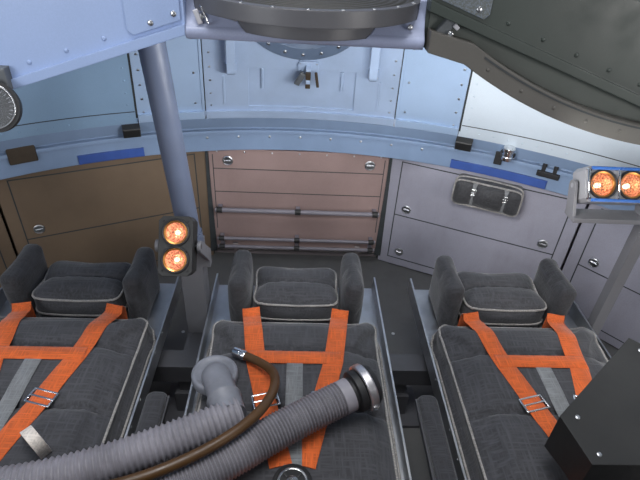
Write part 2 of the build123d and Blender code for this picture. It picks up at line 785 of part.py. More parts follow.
# Control console beside the right couch: a wedge-topped box on an arm from the outer armrest
wedge_plan = ((690, 600), (480, 430), (505, 345), (790, 345), (800, 520))
wedge_z = (470, 600)
with BuildPart() as lap_console:
    with BuildSketch(Plane.XY.offset(wedge_z[0])):
        Polygon(*wedge_plan, align=None)
    extrude(amount=wedge_z[1] - wedge_z[0])
    with BuildSketch(Plane.YZ.offset(400)):
        Polygon((300, wedge_z[0] + 70), (640, wedge_z[1]), (640, 700), (300, 700), align=None)
    extrude(amount=500, mode=Mode.SUBTRACT)
    add(block((780, 912), (430, 470), (wedge_z[0] + 10, wedge_z[0] + 26)))
    add(block((895, 912), (430, 470), (arm_top - 14, wedge_z[0] + 26)))
save(lap_console.part, "lap_console")

# Harness straps on each couch: shoulder, chest and lap straps meeting at a round buckle
strap = 46
strap_t = 3
buckle_y = 392
with BuildPart() as harness:
    for x0 in couch_x.values():
        with BuildSketch(Plane.XY.offset(pad_top + 0.3)):
            for side in (-1, 1):
                for start, end in (((120, back_far - 4), (92, 690)), ((92, 700), (10, buckle_y)),
                                   ((228, 330), (10, buckle_y))):
                    a = Vector(x0 + side * start[0], start[1])
                    b = Vector(x0 + side * end[0], end[1])
                    turn = (b - a).get_signed_angle(Vector(1, 0, 0))
                    with Locations(Location(tuple((a + b) * 0.5), (0, 0, -turn))):
                        Rectangle((b - a).length, strap)
            with Locations((x0, 700)):
                Rectangle(220, strap - 8)
            with Locations((x0, (700 + buckle_y) / 2)):
                Rectangle(strap - 8, 700 - buckle_y)
        extrude(amount=strap_t)
        with BuildSketch(Plane.XY.offset(pad_top + 0.3)):
            with Locations((x0, buckle_y)):
                Circle(38)
        extrude(amount=8)
save(harness.part, "harness")


def lamp_pair(centre, normal, across, size, spacing, bowl_r):
    """Housing with two open reflector bowls side by side along the local x, and trunnions."""
    front = Plane(origin=centre, x_dir=across, z_dir=normal)
    with BuildPart() as housing:
        with BuildSketch(front) as outline:
            Rectangle(size[0], size[1])
            chamfer(outline.vertices(), 10)
        extrude(amount=-size[2])
        with BuildSketch(front):
            with Locations((-spacing / 2, 0), (spacing / 2, 0)):
                Circle(bowl_r)
        extrude(amount=-30, taper=28, mode=Mode.SUBTRACT)
    return housing.part


# Floodlights: the left pair one above the other by the strut, the right pair side by side
lamp_depth = 56
left_lamp = Vector(-278, 808, 644)
left_normal = Vector(0, -0.82, 0.57).normalized()
left_pivot = left_lamp - left_normal * 34
right_lamp = Vector(772, 938, 772)
right_normal = Vector(0, -0.82, 0.57).normalized()
right_pivot = right_lamp - right_normal * 34
trunnion_r = 6
plate_t = 8
with BuildPart() as lamps_left:
    add(lamp_pair(left_lamp, left_normal, left_normal.cross(Vector(1, 0, 0)),
                  (136, 76, lamp_depth), 62, 26))
    add(bar(left_pivot - Vector(52, 0, 0), left_pivot + Vector(52, 0, 0), trunnion_r))
save(lamps_left.part, "lamps_left")

with BuildPart() as lamps_right:
    add(lamp_pair(right_lamp, right_normal, Vector(1, 0, 0), (160, 88, lamp_depth), 74, 31))
    add(bar(right_pivot - Vector(94, 0, 0), right_pivot + Vector(94, 0, 0), trunnion_r))
save(lamps_right.part, "lamps_right")


def yoke(pivot, half, foot):
    """Two upright plates with bores for a lamp's trunnions, standing on a (y, z) foot line."""
    with BuildPart() as plates:
        for x in (pivot.X - half - plate_t, pivot.X + half):
            with BuildSketch(Plane.YZ.offset(x)):
                make_hull([Edge.make_circle(14, Plane((pivot.Y, pivot.Z, 0))),
                           Edge.make_line(*foot)])
                with Locations((pivot.Y, pivot.Z)):
                    Circle(trunnion_r + 0.05, mode=Mode.SUBTRACT)
            extrude(amount=plate_t)
    return plates.part


# Posts with yokes that carry the floodlights, on the rack's two outriggers
post_x = (-306, -247)
with BuildPart() as lamp_post_left:
    add(block(post_x, (918, 977), (beam_z + beam, 560)))
    add(block((left_pivot.X - 52, left_pivot.X + 52), (918, 940), (500, 545)))
    add(yoke(left_pivot, 44, ((938, 500), (938, 545))))
save(lamp_post_left.part, "lamp_post_left")

with BuildPart() as lamp_post_right:
    add(block((868, 898), (915, 945), (beam_z + beam, 690)))
    add(block((right_pivot.X - 94, 898), (905, 955), (680, 692)))
    add(yoke(right_pivot, 86, ((910, 681), (950, 681))))
save(lamp_post_right.part, "lamp_post_right")

# Oxygen outlet box on the left armrest, with a spigot for each hose and a socket
hose_d = 72
hose_z = 450
cable_d = 20
cable_z = 499
outlet_x = -915
outlet_y = (190, 420)
spigot = 34
hose_a_y = 332
hose_b_y = 250
cable_y = 291
with BuildPart() as outlet_box:
    add(block((outlet_x - 75, outlet_x), outlet_y, (arm_top - 14, 524)))
    chamfer(outlet_box.edges().filter_by(Axis.Y), 8)
    for y, z, r in ((hose_a_y, hose_z, hose_d / 2 - 4), (hose_b_y, hose_z, hose_d / 2 - 4),
                    (cable_y, cable_z, cable_d / 2 + 2)):
        add(bar((outlet_x - 1, y, z), (outlet_x + spigot, y, z), r))
save(outlet_box.part, "outlet_box")

# Hoses side by side on the pads, and the cable on the nearer hose, then down to the pad
start_x = outlet_x + spigot
hose_a = ((start_x, hose_a_y, hose_z), (-690, hose_a_y, hose_z), (-505, 348, hose_z),
          (-325, 400, hose_z), (-160, 484, hose_z))
hose_b = ((start_x, hose_b_y, hose_z), (-700, hose_b_y, hose_z), (-515, 262, hose_z),
          (-330, 300, hose_z), (-150, 386, hose_z), (-15, 484, hose_z), (115, 548, 466))
cable = ((start_x, cable_y, cable_z), (-725, cable_y, cable_z), (-560, 296, cable_z),
         (-400, 309, cable_z), (-270, 336, cable_z), (-155, 394, cable_z), (-70, 466, cable_z),
         (-36, 562, 470), (-52, 650, 430), (-116, 688, 421))
save(hose(hose_a, hose_d), "hose_a")
save(hose(hose_b, hose_d), "hose_b")
save(hose(cable, cable_d), "cable")


def beyond(route, distance):
    """Point past the end of a route, in the direction of its last run."""
    end, before = Vector(*route[-1]), Vector(*route[-2])
    return end + (end - before).normalized() * distance


# Loose ends: a branch with an elbow and a flange, a collar with a locking ring, and a plug
elbow = Vector(-177, 628, hose_z)
flange_r = 50
with BuildPart() as connector_a:
    add(bar(hose_a[-1], beyond(hose_a, 60), hose_d / 2 - 1))
    add(bar(beyond(hose_a, 37), elbow, hose_d / 2 - 2))
    add(bar((elbow.X, elbow.Y, pad_top + 4), elbow, hose_d / 2 - 2))
    with Locations(elbow):
        Sphere(hose_d / 2 - 2)
    add(bar((elbow.X, elbow.Y, pad_top + 4), (elbow.X, elbow.Y, pad_top + 20), flange_r))
save(connector_a.part, "connector_a")

# Stations of the collar: distance from the hose's end to the next, and radius
with BuildPart() as connector_b:
    for near, far, r in ((0, 10, hose_d / 2 - 2), (9, 26, 44), (25, 44, 50), (43, 56, 40)):
        add(bar(beyond(hose_b, near), beyond(hose_b, far), r))
save(connector_b.part, "connector_b")

with BuildPart() as cable_plug:
    add(bar(cable[-1], beyond(cable, 34), cable_d / 2 + 2))
save(cable_plug.part, "cable_plug")
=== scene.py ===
"""Looks of the capsule's crew cabin bay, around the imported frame. Metres, in the frame's axes:
origin on the capsule's axis under the deck, +Y to the crew hatch, +X right, +Z to the apex."""

from math import atan2, cos, degrees, exp, pi, radians, sin, tan

import bmesh
import bpy
from mathutils import Matrix, Vector, noise
from mathutils.bvhtree import BVHTree


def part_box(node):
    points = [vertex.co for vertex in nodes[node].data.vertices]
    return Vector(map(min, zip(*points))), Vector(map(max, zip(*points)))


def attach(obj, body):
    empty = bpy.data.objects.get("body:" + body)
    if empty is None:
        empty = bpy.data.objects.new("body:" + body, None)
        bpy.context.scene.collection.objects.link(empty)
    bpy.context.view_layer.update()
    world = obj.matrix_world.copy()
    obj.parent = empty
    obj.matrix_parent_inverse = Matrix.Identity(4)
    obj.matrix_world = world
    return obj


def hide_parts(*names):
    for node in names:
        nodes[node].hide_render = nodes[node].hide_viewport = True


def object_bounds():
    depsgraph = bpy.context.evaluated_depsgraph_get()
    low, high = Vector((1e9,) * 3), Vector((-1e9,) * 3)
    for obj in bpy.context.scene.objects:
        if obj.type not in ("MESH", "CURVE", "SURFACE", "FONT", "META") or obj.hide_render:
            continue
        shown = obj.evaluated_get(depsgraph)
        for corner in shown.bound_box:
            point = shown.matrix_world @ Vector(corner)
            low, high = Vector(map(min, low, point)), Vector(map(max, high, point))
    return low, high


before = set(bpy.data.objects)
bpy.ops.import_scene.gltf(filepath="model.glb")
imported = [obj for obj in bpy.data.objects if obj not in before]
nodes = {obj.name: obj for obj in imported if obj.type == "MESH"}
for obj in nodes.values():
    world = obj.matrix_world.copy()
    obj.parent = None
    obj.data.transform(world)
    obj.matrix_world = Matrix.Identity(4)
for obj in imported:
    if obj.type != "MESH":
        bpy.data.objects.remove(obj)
cad_low, cad_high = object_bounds()

# Shape of the cabin, as the solids have it
RING_R = 1.550
LEDGE_Z = 0.620
CONE = radians(25)
LOCKER_PITCH = 24.5
LOCKER_FACE = 1.556
WINDOW_Z = 1.087
CONSOLE_Y = 0.720
BEAM_Y = 0.7235
DRUM_Y = 0.832
PANEL_Z = 1.1112
GAUGE_AT = (-0.505, 0.684, 1.003)
SKIN_R = 1.764
TOP_RING_R = 1.117
WALL_SPAN = (0.70, 1.495)
SKIN_OUT, FRAME_OUT = 0.033, 0.063
POCKET_SPAN = (0.7145, 1.3535)
LATCH = (0.7, 0.874)
HANDLE_AZ, HANDLE_Z = 8.7, 0.948
COUCH_X = {"left": -0.6, "centre": 0.0, "right": 0.6}
ARMREST_X = (-0.890, -0.300, 0.300, 0.870)
PAD_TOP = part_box("back_pad_centre")[1].z

# Webbing of the harness
BELT, SLIM_BELT, WEB_THICK = 0.046, 0.038, 0.0022
BUCKLE_Y = 0.392


# Places

def matrix_of(origin, x, y, z):
    """Local frame from an origin and three axes."""
    m = Matrix((x, y, z)).transposed().to_4x4()
    m.translation = Vector(origin)
    return m


def frame_along(origin, direction):
    """Local frame whose z points along a direction, with x level unless z is nearly upright."""
    z = Vector(direction).normalized()
    side = Vector((0, 0, 1)) if abs(z.z) < 0.98 else Vector((1, 0, 0))
    x = side.cross(z).normalized()
    return matrix_of(origin, x, z.cross(x), z)


def wall_r(z):
    """Radius of the wall's inner face at a height."""
    return RING_R - (z - LEDGE_Z) * tan(CONE)


def wall_at(azimuth, z, inset=0.0):
    """Frame on the wall's inner face: x right, y up the slope, z into the cabin."""
    a = radians(azimuth)
    outward = Vector((sin(a) * cos(CONE), cos(a) * cos(CONE), sin(CONE)))
    right = Vector((cos(a), -sin(a), 0))
    origin = Vector((wall_r(z) * sin(a), wall_r(z) * cos(a), z)) - outward * inset
    return matrix_of(origin, right, (-outward).cross(right), -outward)


def ring_at(azimuth, z, radius=RING_R):
    """Upright frame on the ring: x right, y up, z into the cabin."""
    a = radians(azimuth)
    return matrix_of((radius * sin(a), radius * cos(a), z), (cos(a), -sin(a), 0), (0, 0, 1),
                     (-sin(a), -cos(a), 0))


def locker_at(step, x=0.0, z=0.0):
    """Frame on a locker's front: x right, y up, z into the cabin."""
    m = ring_at(step * LOCKER_PITCH, z, LOCKER_FACE)
    m.translation += m.col[0].to_3d() * x
    return m


def front_at(x, z, y=CONSOLE_Y):
    """Frame on the console's front plane: x right, y up, z towards the couches' feet."""
    return matrix_of((x, y, z), (1, 0, 0), (0, 0, 1), (0, -1, 0))


def level_at(x, y, z):
    """Level frame with z up."""
    return Matrix.Translation((x, y, z))


def under_at(x, y, z):
    """Level frame with z down."""
    return matrix_of((x, y, z), (1, 0, 0), (0, -1, 0), (0, 0, -1))


def shifted(at, x=0.0, y=0.0, z=0.0):
    """Local frame moved in its own axes."""
    return at @ Matrix.Translation((x, y, z))


def spun(at, turn, axis="Z"):
    """Local frame turned about one of its own axes."""
    return at @ Matrix.Rotation(radians(turn), 4, axis)


def from_outside(at):
    """The same place seen from outside: x left, y up, z outward."""
    right, up = at.col[0].to_3d(), at.col[1].to_3d()
    return matrix_of(at.translation, -right, up, (-right).cross(up))


def corners(x, y):
    """The four places at plus and minus x and y."""
    return [(a, b) for a in (-x, x) for b in (-y, y)]


def span(low, high, step):
    """Evenly spaced values from low to high, both included."""
    count = max(1, round((high - low) / step))
    return [low + (high - low) * i / count for i in range(count + 1)]


def in_scene(name, data):
    """New object, linked to the scene."""
    made = bpy.data.objects.new(name, data)
    bpy.context.scene.collection.objects.link(made)
    return made


# Camera, at the place and angle of the photograph
CAMERA_AT = Vector((-0.009, -0.121, 1.316))
CAMERA_YAW, CAMERA_PITCH, CAMERA_ROLL = radians(3.53), radians(34.65), radians(3.7)
CAMERA_LENS = 28.125


def make_camera():
    """Camera that looks down over the couches at the hatch."""
    yaw, pitch, roll = CAMERA_YAW, CAMERA_PITCH, CAMERA_ROLL
    forward = Vector((sin(yaw) * cos(pitch), cos(yaw) * cos(pitch), -sin(pitch)))
    level = Vector((cos(yaw), -sin(yaw), 0))
    up = level.cross(forward)
    right = level * cos(roll) + up * sin(roll)
    top = up * cos(roll) - level * sin(roll)
    data = bpy.data.cameras.new("camera")
    data.lens, data.sensor_width = CAMERA_LENS, 36
    data.clip_start, data.clip_end = 0.02, 60
    camera = in_scene("camera", data)
    camera.matrix_world = matrix_of(CAMERA_AT, right, top, -forward)
    bpy.context.scene.camera = camera


make_camera()


# Materials

def linear(r, g, b):
    """Colour for a shader from ordinary 0 to 255 values."""
    def one(v):
        v = v / 255
        return v / 12.92 if v <= 0.04045 else ((v + 0.055) / 1.055) ** 2.4
    return (one(r), one(g), one(b), 1.0)


class Shader:
    """Small helper that adds and links nodes of one material."""

    def __init__(self, name):
        self.material = bpy.data.materials.new(name)
        self.material.use_nodes = True
        self.tree = self.material.node_tree
        self.surface = self.tree.nodes["Principled BSDF"]
        self.coords = self.add("ShaderNodeTexCoord").outputs["Object"]

    def add(self, kind, **values):
        """New node, with settings by attribute name and inputs by their label."""
        node = self.tree.nodes.new(kind)
        for key, value in values.items():
            if hasattr(node, key):
                setattr(node, key, value)
            else:
                self.put(node.inputs[key.replace("_", " ")], value)
        return node

    def put(self, socket, value):
        """Set a socket, or link it when the value is another node's output."""
        if isinstance(value, bpy.types.NodeSocket):
            self.tree.links.new(value, socket)
        else:
            socket.default_value = value

    def noise(self, scale, detail=3.0, rough=0.55, stretch=(1, 1, 1)):
        """Noise value in the object's own coordinates."""
        mapped = self.add("ShaderNodeMapping", Vector=self.coords, Scale=stretch)
        made = self.add("ShaderNodeTexNoise", Vector=mapped.outputs[0], Scale=scale, Detail=detail,
                        Roughness=rough)
        return made.outputs["Fac"]

    def ramp(self, value, low, high, from_low=0.3, from_high=0.7):
        """Value stretched from one span to another and clamped."""
        made = self.add("ShaderNodeMapRange", Value=value)
        for label, number in (("From Min", from_low), ("From Max", from_high), ("To Min", low),
                              ("To Max", high)):
            made.inputs[label].default_value = number
        return made.outputs["Result"]

    def mix(self, share, a, b, blend="MIX"):
        """Colour between a and b."""
        made = self.add("ShaderNodeMix", data_type="RGBA", blend_type=blend)
        self.put(made.inputs["Factor"], share)
        self.put(made.inputs["A"], a)
        self.put(made.inputs["B"], b)
        return made.outputs["Result"]

    def math(self, operation, a, b=0.0):
        """One arithmetic step."""
        made = self.add("ShaderNodeMath", operation=operation)
        self.put(made.inputs[0], a)
        self.put(made.inputs[1], b)
        return made.outputs[0]

    def bump(self, height, strength, distance=0.001, normal=None):
        """Bump from a height value."""
        made = self.add("ShaderNodeBump", Height=height, Strength=strength, Distance=distance)
        if normal is not None:
            self.put(made.inputs["Normal"], normal)
        return made.outputs["Normal"]

    def edges(self, radius):
        """Share that is high on sharp edges, and the rounded normal."""
        rounded = self.add("ShaderNodeBevel", Radius=radius, samples=4)
        flat = self.add("ShaderNodeNewGeometry")
        dot = self.add("ShaderNodeVectorMath", operation="DOT_PRODUCT")
        self.put(dot.inputs[0], rounded.outputs[0])
        self.put(dot.inputs[1], flat.outputs["Normal"])
        return self.ramp(dot.outputs["Value"], 1.0, 0.0, 0.80, 0.995), rounded.outputs[0]

    def finish(self, **inputs):
        """Put values on the surface shader's own sockets."""
        for key, value in inputs.items():
            self.put(self.surface.inputs[key.replace("_", " ")], value)
        return self.material


def shade(color, factor):
    """Colour made darker or lighter."""
    return tuple(min(1.0, c * factor) for c in color[:3]) + (1.0,)


def paint(name, color, rough=0.42, mottle=0.10, patch=3.0, grain=0.25, wear=0.35, stain=0.12,
          right=None):
    """Sprayed paint: cloudy tone, fine orange peel, grime and lighter worn edges.

    With a second colour, the piece's right-hand side takes that colour: painted light and shade, for
    pieces whose two sides are lit differently."""
    s = Shader(name)
    cloud = s.ramp(s.noise(patch, 4), 0.0, 1.0, 0.35, 0.65)
    base = s.mix(cloud, shade(color, 1 - mottle), shade(color, 1 + mottle))
    # Right-hand side in a second copy of the paint: painted light and shade.
    if right:
        across = s.add("ShaderNodeSeparateXYZ", Vector=s.coords).outputs["X"]
        other = s.mix(cloud, shade(right, 1 - mottle), shade(right, 1 + mottle))
        base = s.mix(s.math("GREATER_THAN", across, 0.0), base, other)
    speckle = s.ramp(s.noise(420, 2), 0.0, 1.0, 0.42, 0.62)
    base = s.mix(s.math("MULTIPLY", speckle, 0.16), base, shade(color, 1.25))
    streak = s.ramp(s.noise(9, 5, 0.6, (1.0, 1.0, 0.22)), 0.0, 1.0, 0.55, 0.8)
    base = s.mix(s.math("MULTIPLY", streak, stain), base, shade(color, 0.45))
    edge, rounded = s.edges(0.0025)
    worn = s.math("MULTIPLY", edge, s.ramp(s.noise(38, 3), 0.15, 1.0, 0.35, 0.6))
    base = s.mix(s.math("MULTIPLY", worn, wear), base, shade(color, 1.55))
    roughness = s.ramp(s.noise(22, 4), rough - 0.07, rough + 0.10)
    peel = s.bump(s.noise(900, 1.5), grain, 0.0004, rounded)
    return s.finish(Base_Color=base, Roughness=roughness, Normal=peel)


def bare_metal(name, color, rough=0.28, brushed=(1, 1, 1), grain=0.2):
    """Brushed or polished metal with smudges and fine scratches."""
    s = Shader(name)
    smudge = s.ramp(s.noise(14, 4), 0.0, 1.0)
    base = s.mix(smudge, shade(color, 0.86), shade(color, 1.08))
    lines = s.noise(260, 2, 0.5, brushed)
    roughness = s.ramp(s.noise(30, 4), max(0.04, rough - 0.06), rough + 0.12)
    rounded = s.edges(0.0012)[1]
    return s.finish(Base_Color=base, Roughness=roughness, Metallic=1.0,
                    Normal=s.bump(lines, grain, 0.0003, rounded))


def woven(name, color, pitch=0.0022, rough=0.85, contrast=0.35, fleck=0.1, depth=0.6, sheen=0.25):
    """Woven cloth: threads that cross, uneven dye, worn patches and a little sheen."""
    s = Shader(name)
    warp = s.noise(0.5 / pitch, 2, 0.5, (1.0, 0.08, 1.0))
    weft = s.noise(0.5 / pitch, 2, 0.5, (0.08, 1.0, 0.35))
    weave = s.ramp(s.math("MAXIMUM", warp, weft), 0.0, 1.0, 0.42, 0.72)
    base = s.mix(weave, shade(color, 1 - contrast), shade(color, 1 + contrast))
    base = s.mix(s.math("MULTIPLY", s.ramp(s.noise(6, 4), 0, 1), fleck * 2), base, shade(color, 0.6))
    rubbed = s.math("MULTIPLY", s.ramp(s.noise(17, 6, 0.65), 0, 1, 0.55, 0.75), 0.35)
    base = s.mix(rubbed, base, shade(color, 1.7))
    fuzz = s.noise(900, 2)
    bumpy = s.bump(s.math("ADD", weave, s.math("MULTIPLY", fuzz, 0.4)), depth, 0.0006)
    return s.finish(Base_Color=base, Roughness=rough, Normal=bumpy, Sheen_Weight=sheen)


def rubber(name, color, rough=0.6, dust=0.2, groove=0.0):
    """Moulded rubber or soft plastic with dust in its tone and, if asked, grooves darkened by an
    occlusion node: painted shade.
    """
    s = Shader(name)
    tone = s.ramp(s.noise(18, 4), 0.0, 1.0)
    base = s.mix(tone, shade(color, 0.82), shade(color, 1.14))
    base = s.mix(s.math("MULTIPLY", s.ramp(s.noise(60, 4), 0, 1, 0.5, 0.8), dust), base,
                 shade(color, 1.9))
    if groove:
        # Darker where the surface is hemmed in: painted shade in the grooves.
        groove_shade = s.add("ShaderNodeAmbientOcclusion", Distance=groove, samples=6).outputs["AO"]
        base = s.mix(s.ramp(groove_shade, 0.95, 0.0, 0.40, 0.90), base, shade(color, 0.22))
    return s.finish(Base_Color=base, Roughness=s.ramp(s.noise(40, 3), rough - 0.08, rough + 0.1),
                    Normal=s.bump(s.noise(500, 2), 0.25, 0.0004))


def glow(name, color, strength):
    """Lit reflector: polished metal with an uneven warm glow."""
    s = Shader(name)
    ripple = s.ramp(s.noise(230, 3), 0.0, 1.0, 0.38, 0.62)
    base = s.mix(ripple, shade(color, 0.25), color)
    s.surface.inputs["Emission Strength"].default_value = strength
    return s.finish(Base_Color=base, Emission_Color=base, Metallic=0.8, Roughness=0.22)


# Dark colour of the right-hand cover plates: painted shade, as the right wing lies in shadow.
RIGHT_COVER_SHADE = linear(86, 90, 86)
WALL_BLUE = linear(138, 166, 194)
# Lighter paint for the right wall: painted light, where more light falls on that side.
WALL_RIGHT_LIT = linear(200, 211, 221)
paints = {
    "wall": paint("wall_paint", WALL_BLUE, 0.40, 0.09, 2.2),
    # The right wall, and the right-hand side of the rivets, take the lighter paint: painted light.
    "wall_right": paint("wall_right_lit_paint", WALL_RIGHT_LIT, 0.40, 0.07, 2.2),
    "rivets": paint("rivet_paint_lit_right", WALL_BLUE, 0.40, 0.09, 2.2, right=WALL_RIGHT_LIT),
    "surround": paint("surround_paint", linear(156, 178, 206), 0.38, 0.08, 2.6),
    "door": paint("door_paint", linear(158, 176, 202), 0.40, 0.12, 4.0, stain=0.2),
    "bezel": paint("bezel_paint", linear(88, 102, 122), 0.36, 0.12, 6.0, stain=0.2),
    "ring": paint("ring_paint", linear(126, 146, 174), 0.36, 0.12, 3.0, stain=0.18),
    "locker": paint("locker_paint", linear(150, 140, 140), 0.55, 0.12, 3.5, stain=0.22),
    # Fixed lockers: the left-hand side is painted darker and browner than the right-hand side, painted
    # shade on the left.
    "lockers": paint("side_locker_paint_shaded_left", linear(110, 93, 76), 0.55, 0.12, 3.5, stain=0.22,
                     right=linear(156, 156, 170)),
    "locker_door": paint("locker_door_paint", linear(150, 128, 124), 0.55, 0.12, 3.5, stain=0.22),
    "rail": paint("rail_paint", linear(122, 118, 126), 0.45, 0.08, 6.0),
    "strut": paint("strut_paint", linear(89, 98, 118), 0.42, 0.12, 5.0),
    "wing_left": paint("wing_left_paint", linear(146, 166, 204), 0.36, 0.06, 2.0, stain=0.05),
    # Near-black paint of the right wing: painted shade, for the shadow the wing lies in.
    "wing_right": paint("wing_right_shade_paint", linear(50, 58, 54), 0.42, 0.16, 2.2, stain=0.2),
    # Cover plates: light on the left, dark on the right-hand side, which is painted shade.
    "covers": paint("cover_plate_paint_shaded_right", linear(146, 166, 204), 0.38, 0.08, 4.0, right=RIGHT_COVER_SHADE),
    "beam": paint("beam_paint", linear(142, 150, 176), 0.40, 0.10, 3.0),
    # Dark grey drum: painted shade on its side.
    "drum": paint("drum_shade_paint", linear(84, 84, 88), 0.36, 0.12, 5.0),
    # Very dark drum cover: painted shade on the drum's top.
    "drum_cover": paint("drum_cover_shade_paint", linear(54, 53, 50), 0.48, 0.12, 5.0, stain=0.2),
    "cowl": paint("cowl_paint", linear(84, 82, 78), 0.48, 0.12, 4.0, stain=0.2),
    # Dark paint of the sheet in the right wing's recess: painted shade.
    "recess": paint("recess_shade_paint", linear(72, 78, 74), 0.5, 0.14, 3.0, stain=0.25),
    "deck": paint("deck_paint", linear(88, 88, 88), 0.5, 0.14, 2.0, stain=0.35),
    "rack": paint("rack_paint", linear(70, 70, 74), 0.48, 0.12, 4.0, stain=0.25),
    "post": paint("post_paint", linear(104, 104, 108), 0.45, 0.10, 4.0, stain=0.2),
    "skin": paint("skin_paint", linear(126, 132, 136), 0.5, 0.10, 1.8, stain=0.25),
    "black": paint("black_paint", linear(36, 36, 36), 0.55, 0.22, 5.0, wear=0.9, stain=0.1),
    "panel": paint("panel_paint", linear(84, 88, 92), 0.5, 0.10, 5.0, stain=0.15),
    "blue_bar": paint("blue_bar_paint", linear(52, 98, 168), 0.3, 0.08, 12.0, wear=0.5),
    "lamp_white": paint("lamp_white_paint", linear(128, 128, 132), 0.35, 0.08, 12.0),
    "strip": paint("strip_paint", linear(54, 82, 150), 0.5, 0.14, 12.0, stain=0.3),
    "tag": paint("tag_paint", linear(176, 176, 182), 0.45, 0.10, 20.0, stain=0.3),
}
chrome = bare_metal("chrome", (0.78, 0.79, 0.80, 1), 0.12)
satin = bare_metal("satin_alloy", (0.78, 0.75, 0.77, 1), 0.34)
steel = bare_metal("steel", (0.55, 0.56, 0.58, 1), 0.3, (1, 1, 8))
alloy = bare_metal("pan_alloy", (0.50, 0.51, 0.53, 1), 0.42, (14, 1, 1))
brass = bare_metal("orange_anodised", (0.72, 0.33, 0.10, 1), 0.3)
pad_cloth = woven("pad_cloth", linear(62, 62, 66), 0.0026)
pad_cloth_side = woven("pad_side_cloth", linear(48, 48, 52), 0.0022)
bag_cloth = woven("bag_cloth", linear(52, 52, 55), 0.0018, 0.7)
piping_cloth = woven("piping_cloth", linear(150, 146, 142), 0.0014, 0.8)
orange_web = woven("orange_webbing", linear(206, 92, 28), 0.0016, 0.75, 0.25)
grey_web = woven("grey_webbing", linear(120, 122, 124), 0.0016, 0.8, 0.25)
white_web = woven("white_webbing", linear(222, 212, 202), 0.0016, 0.8, 0.2)
# Its last value darkens the ribs' grooves: painted shade.
hose_rubber = rubber("hose_rubber", linear(140, 137, 144), 0.5, 0.2, 0.006)
cuff_rubber = rubber("cuff_rubber", linear(120, 122, 130), 0.45)
cable_rubber = rubber("cable_rubber", linear(76, 52, 26), 0.42, 0.12)
pad_rubber = rubber("pad_rubber", linear(58, 48, 36), 0.6, 0.15)
black_rubber = rubber("black_rubber", linear(30, 30, 32), 0.55, 0.15)
seam_dark = rubber("seam_sealant", linear(52, 56, 58), 0.7, 0.1)
lamp_glow = {"left": glow("lamp_glow_left", (1.0, 0.43, 0.27, 1), 0.55),
             "right": glow("lamp_glow_right", (1.0, 0.45, 0.25, 1), 0.50)}
lamp_core = glow("lamp_core", (1.0, 0.80, 0.56, 1), 3.0)


# Mesh pieces

def link_piece(name, mesh, material, body, sharp=35):
    """Object from a mesh, shaded smooth up to an angle, riding on a body."""
    mesh.materials.append(material)
    mesh.polygons.foreach_set("use_smooth", [True] * len(mesh.polygons))
    mesh.set_sharp_from_angle(angle=radians(sharp))
    made = in_scene(name, mesh)
    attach(made, body)
    return made


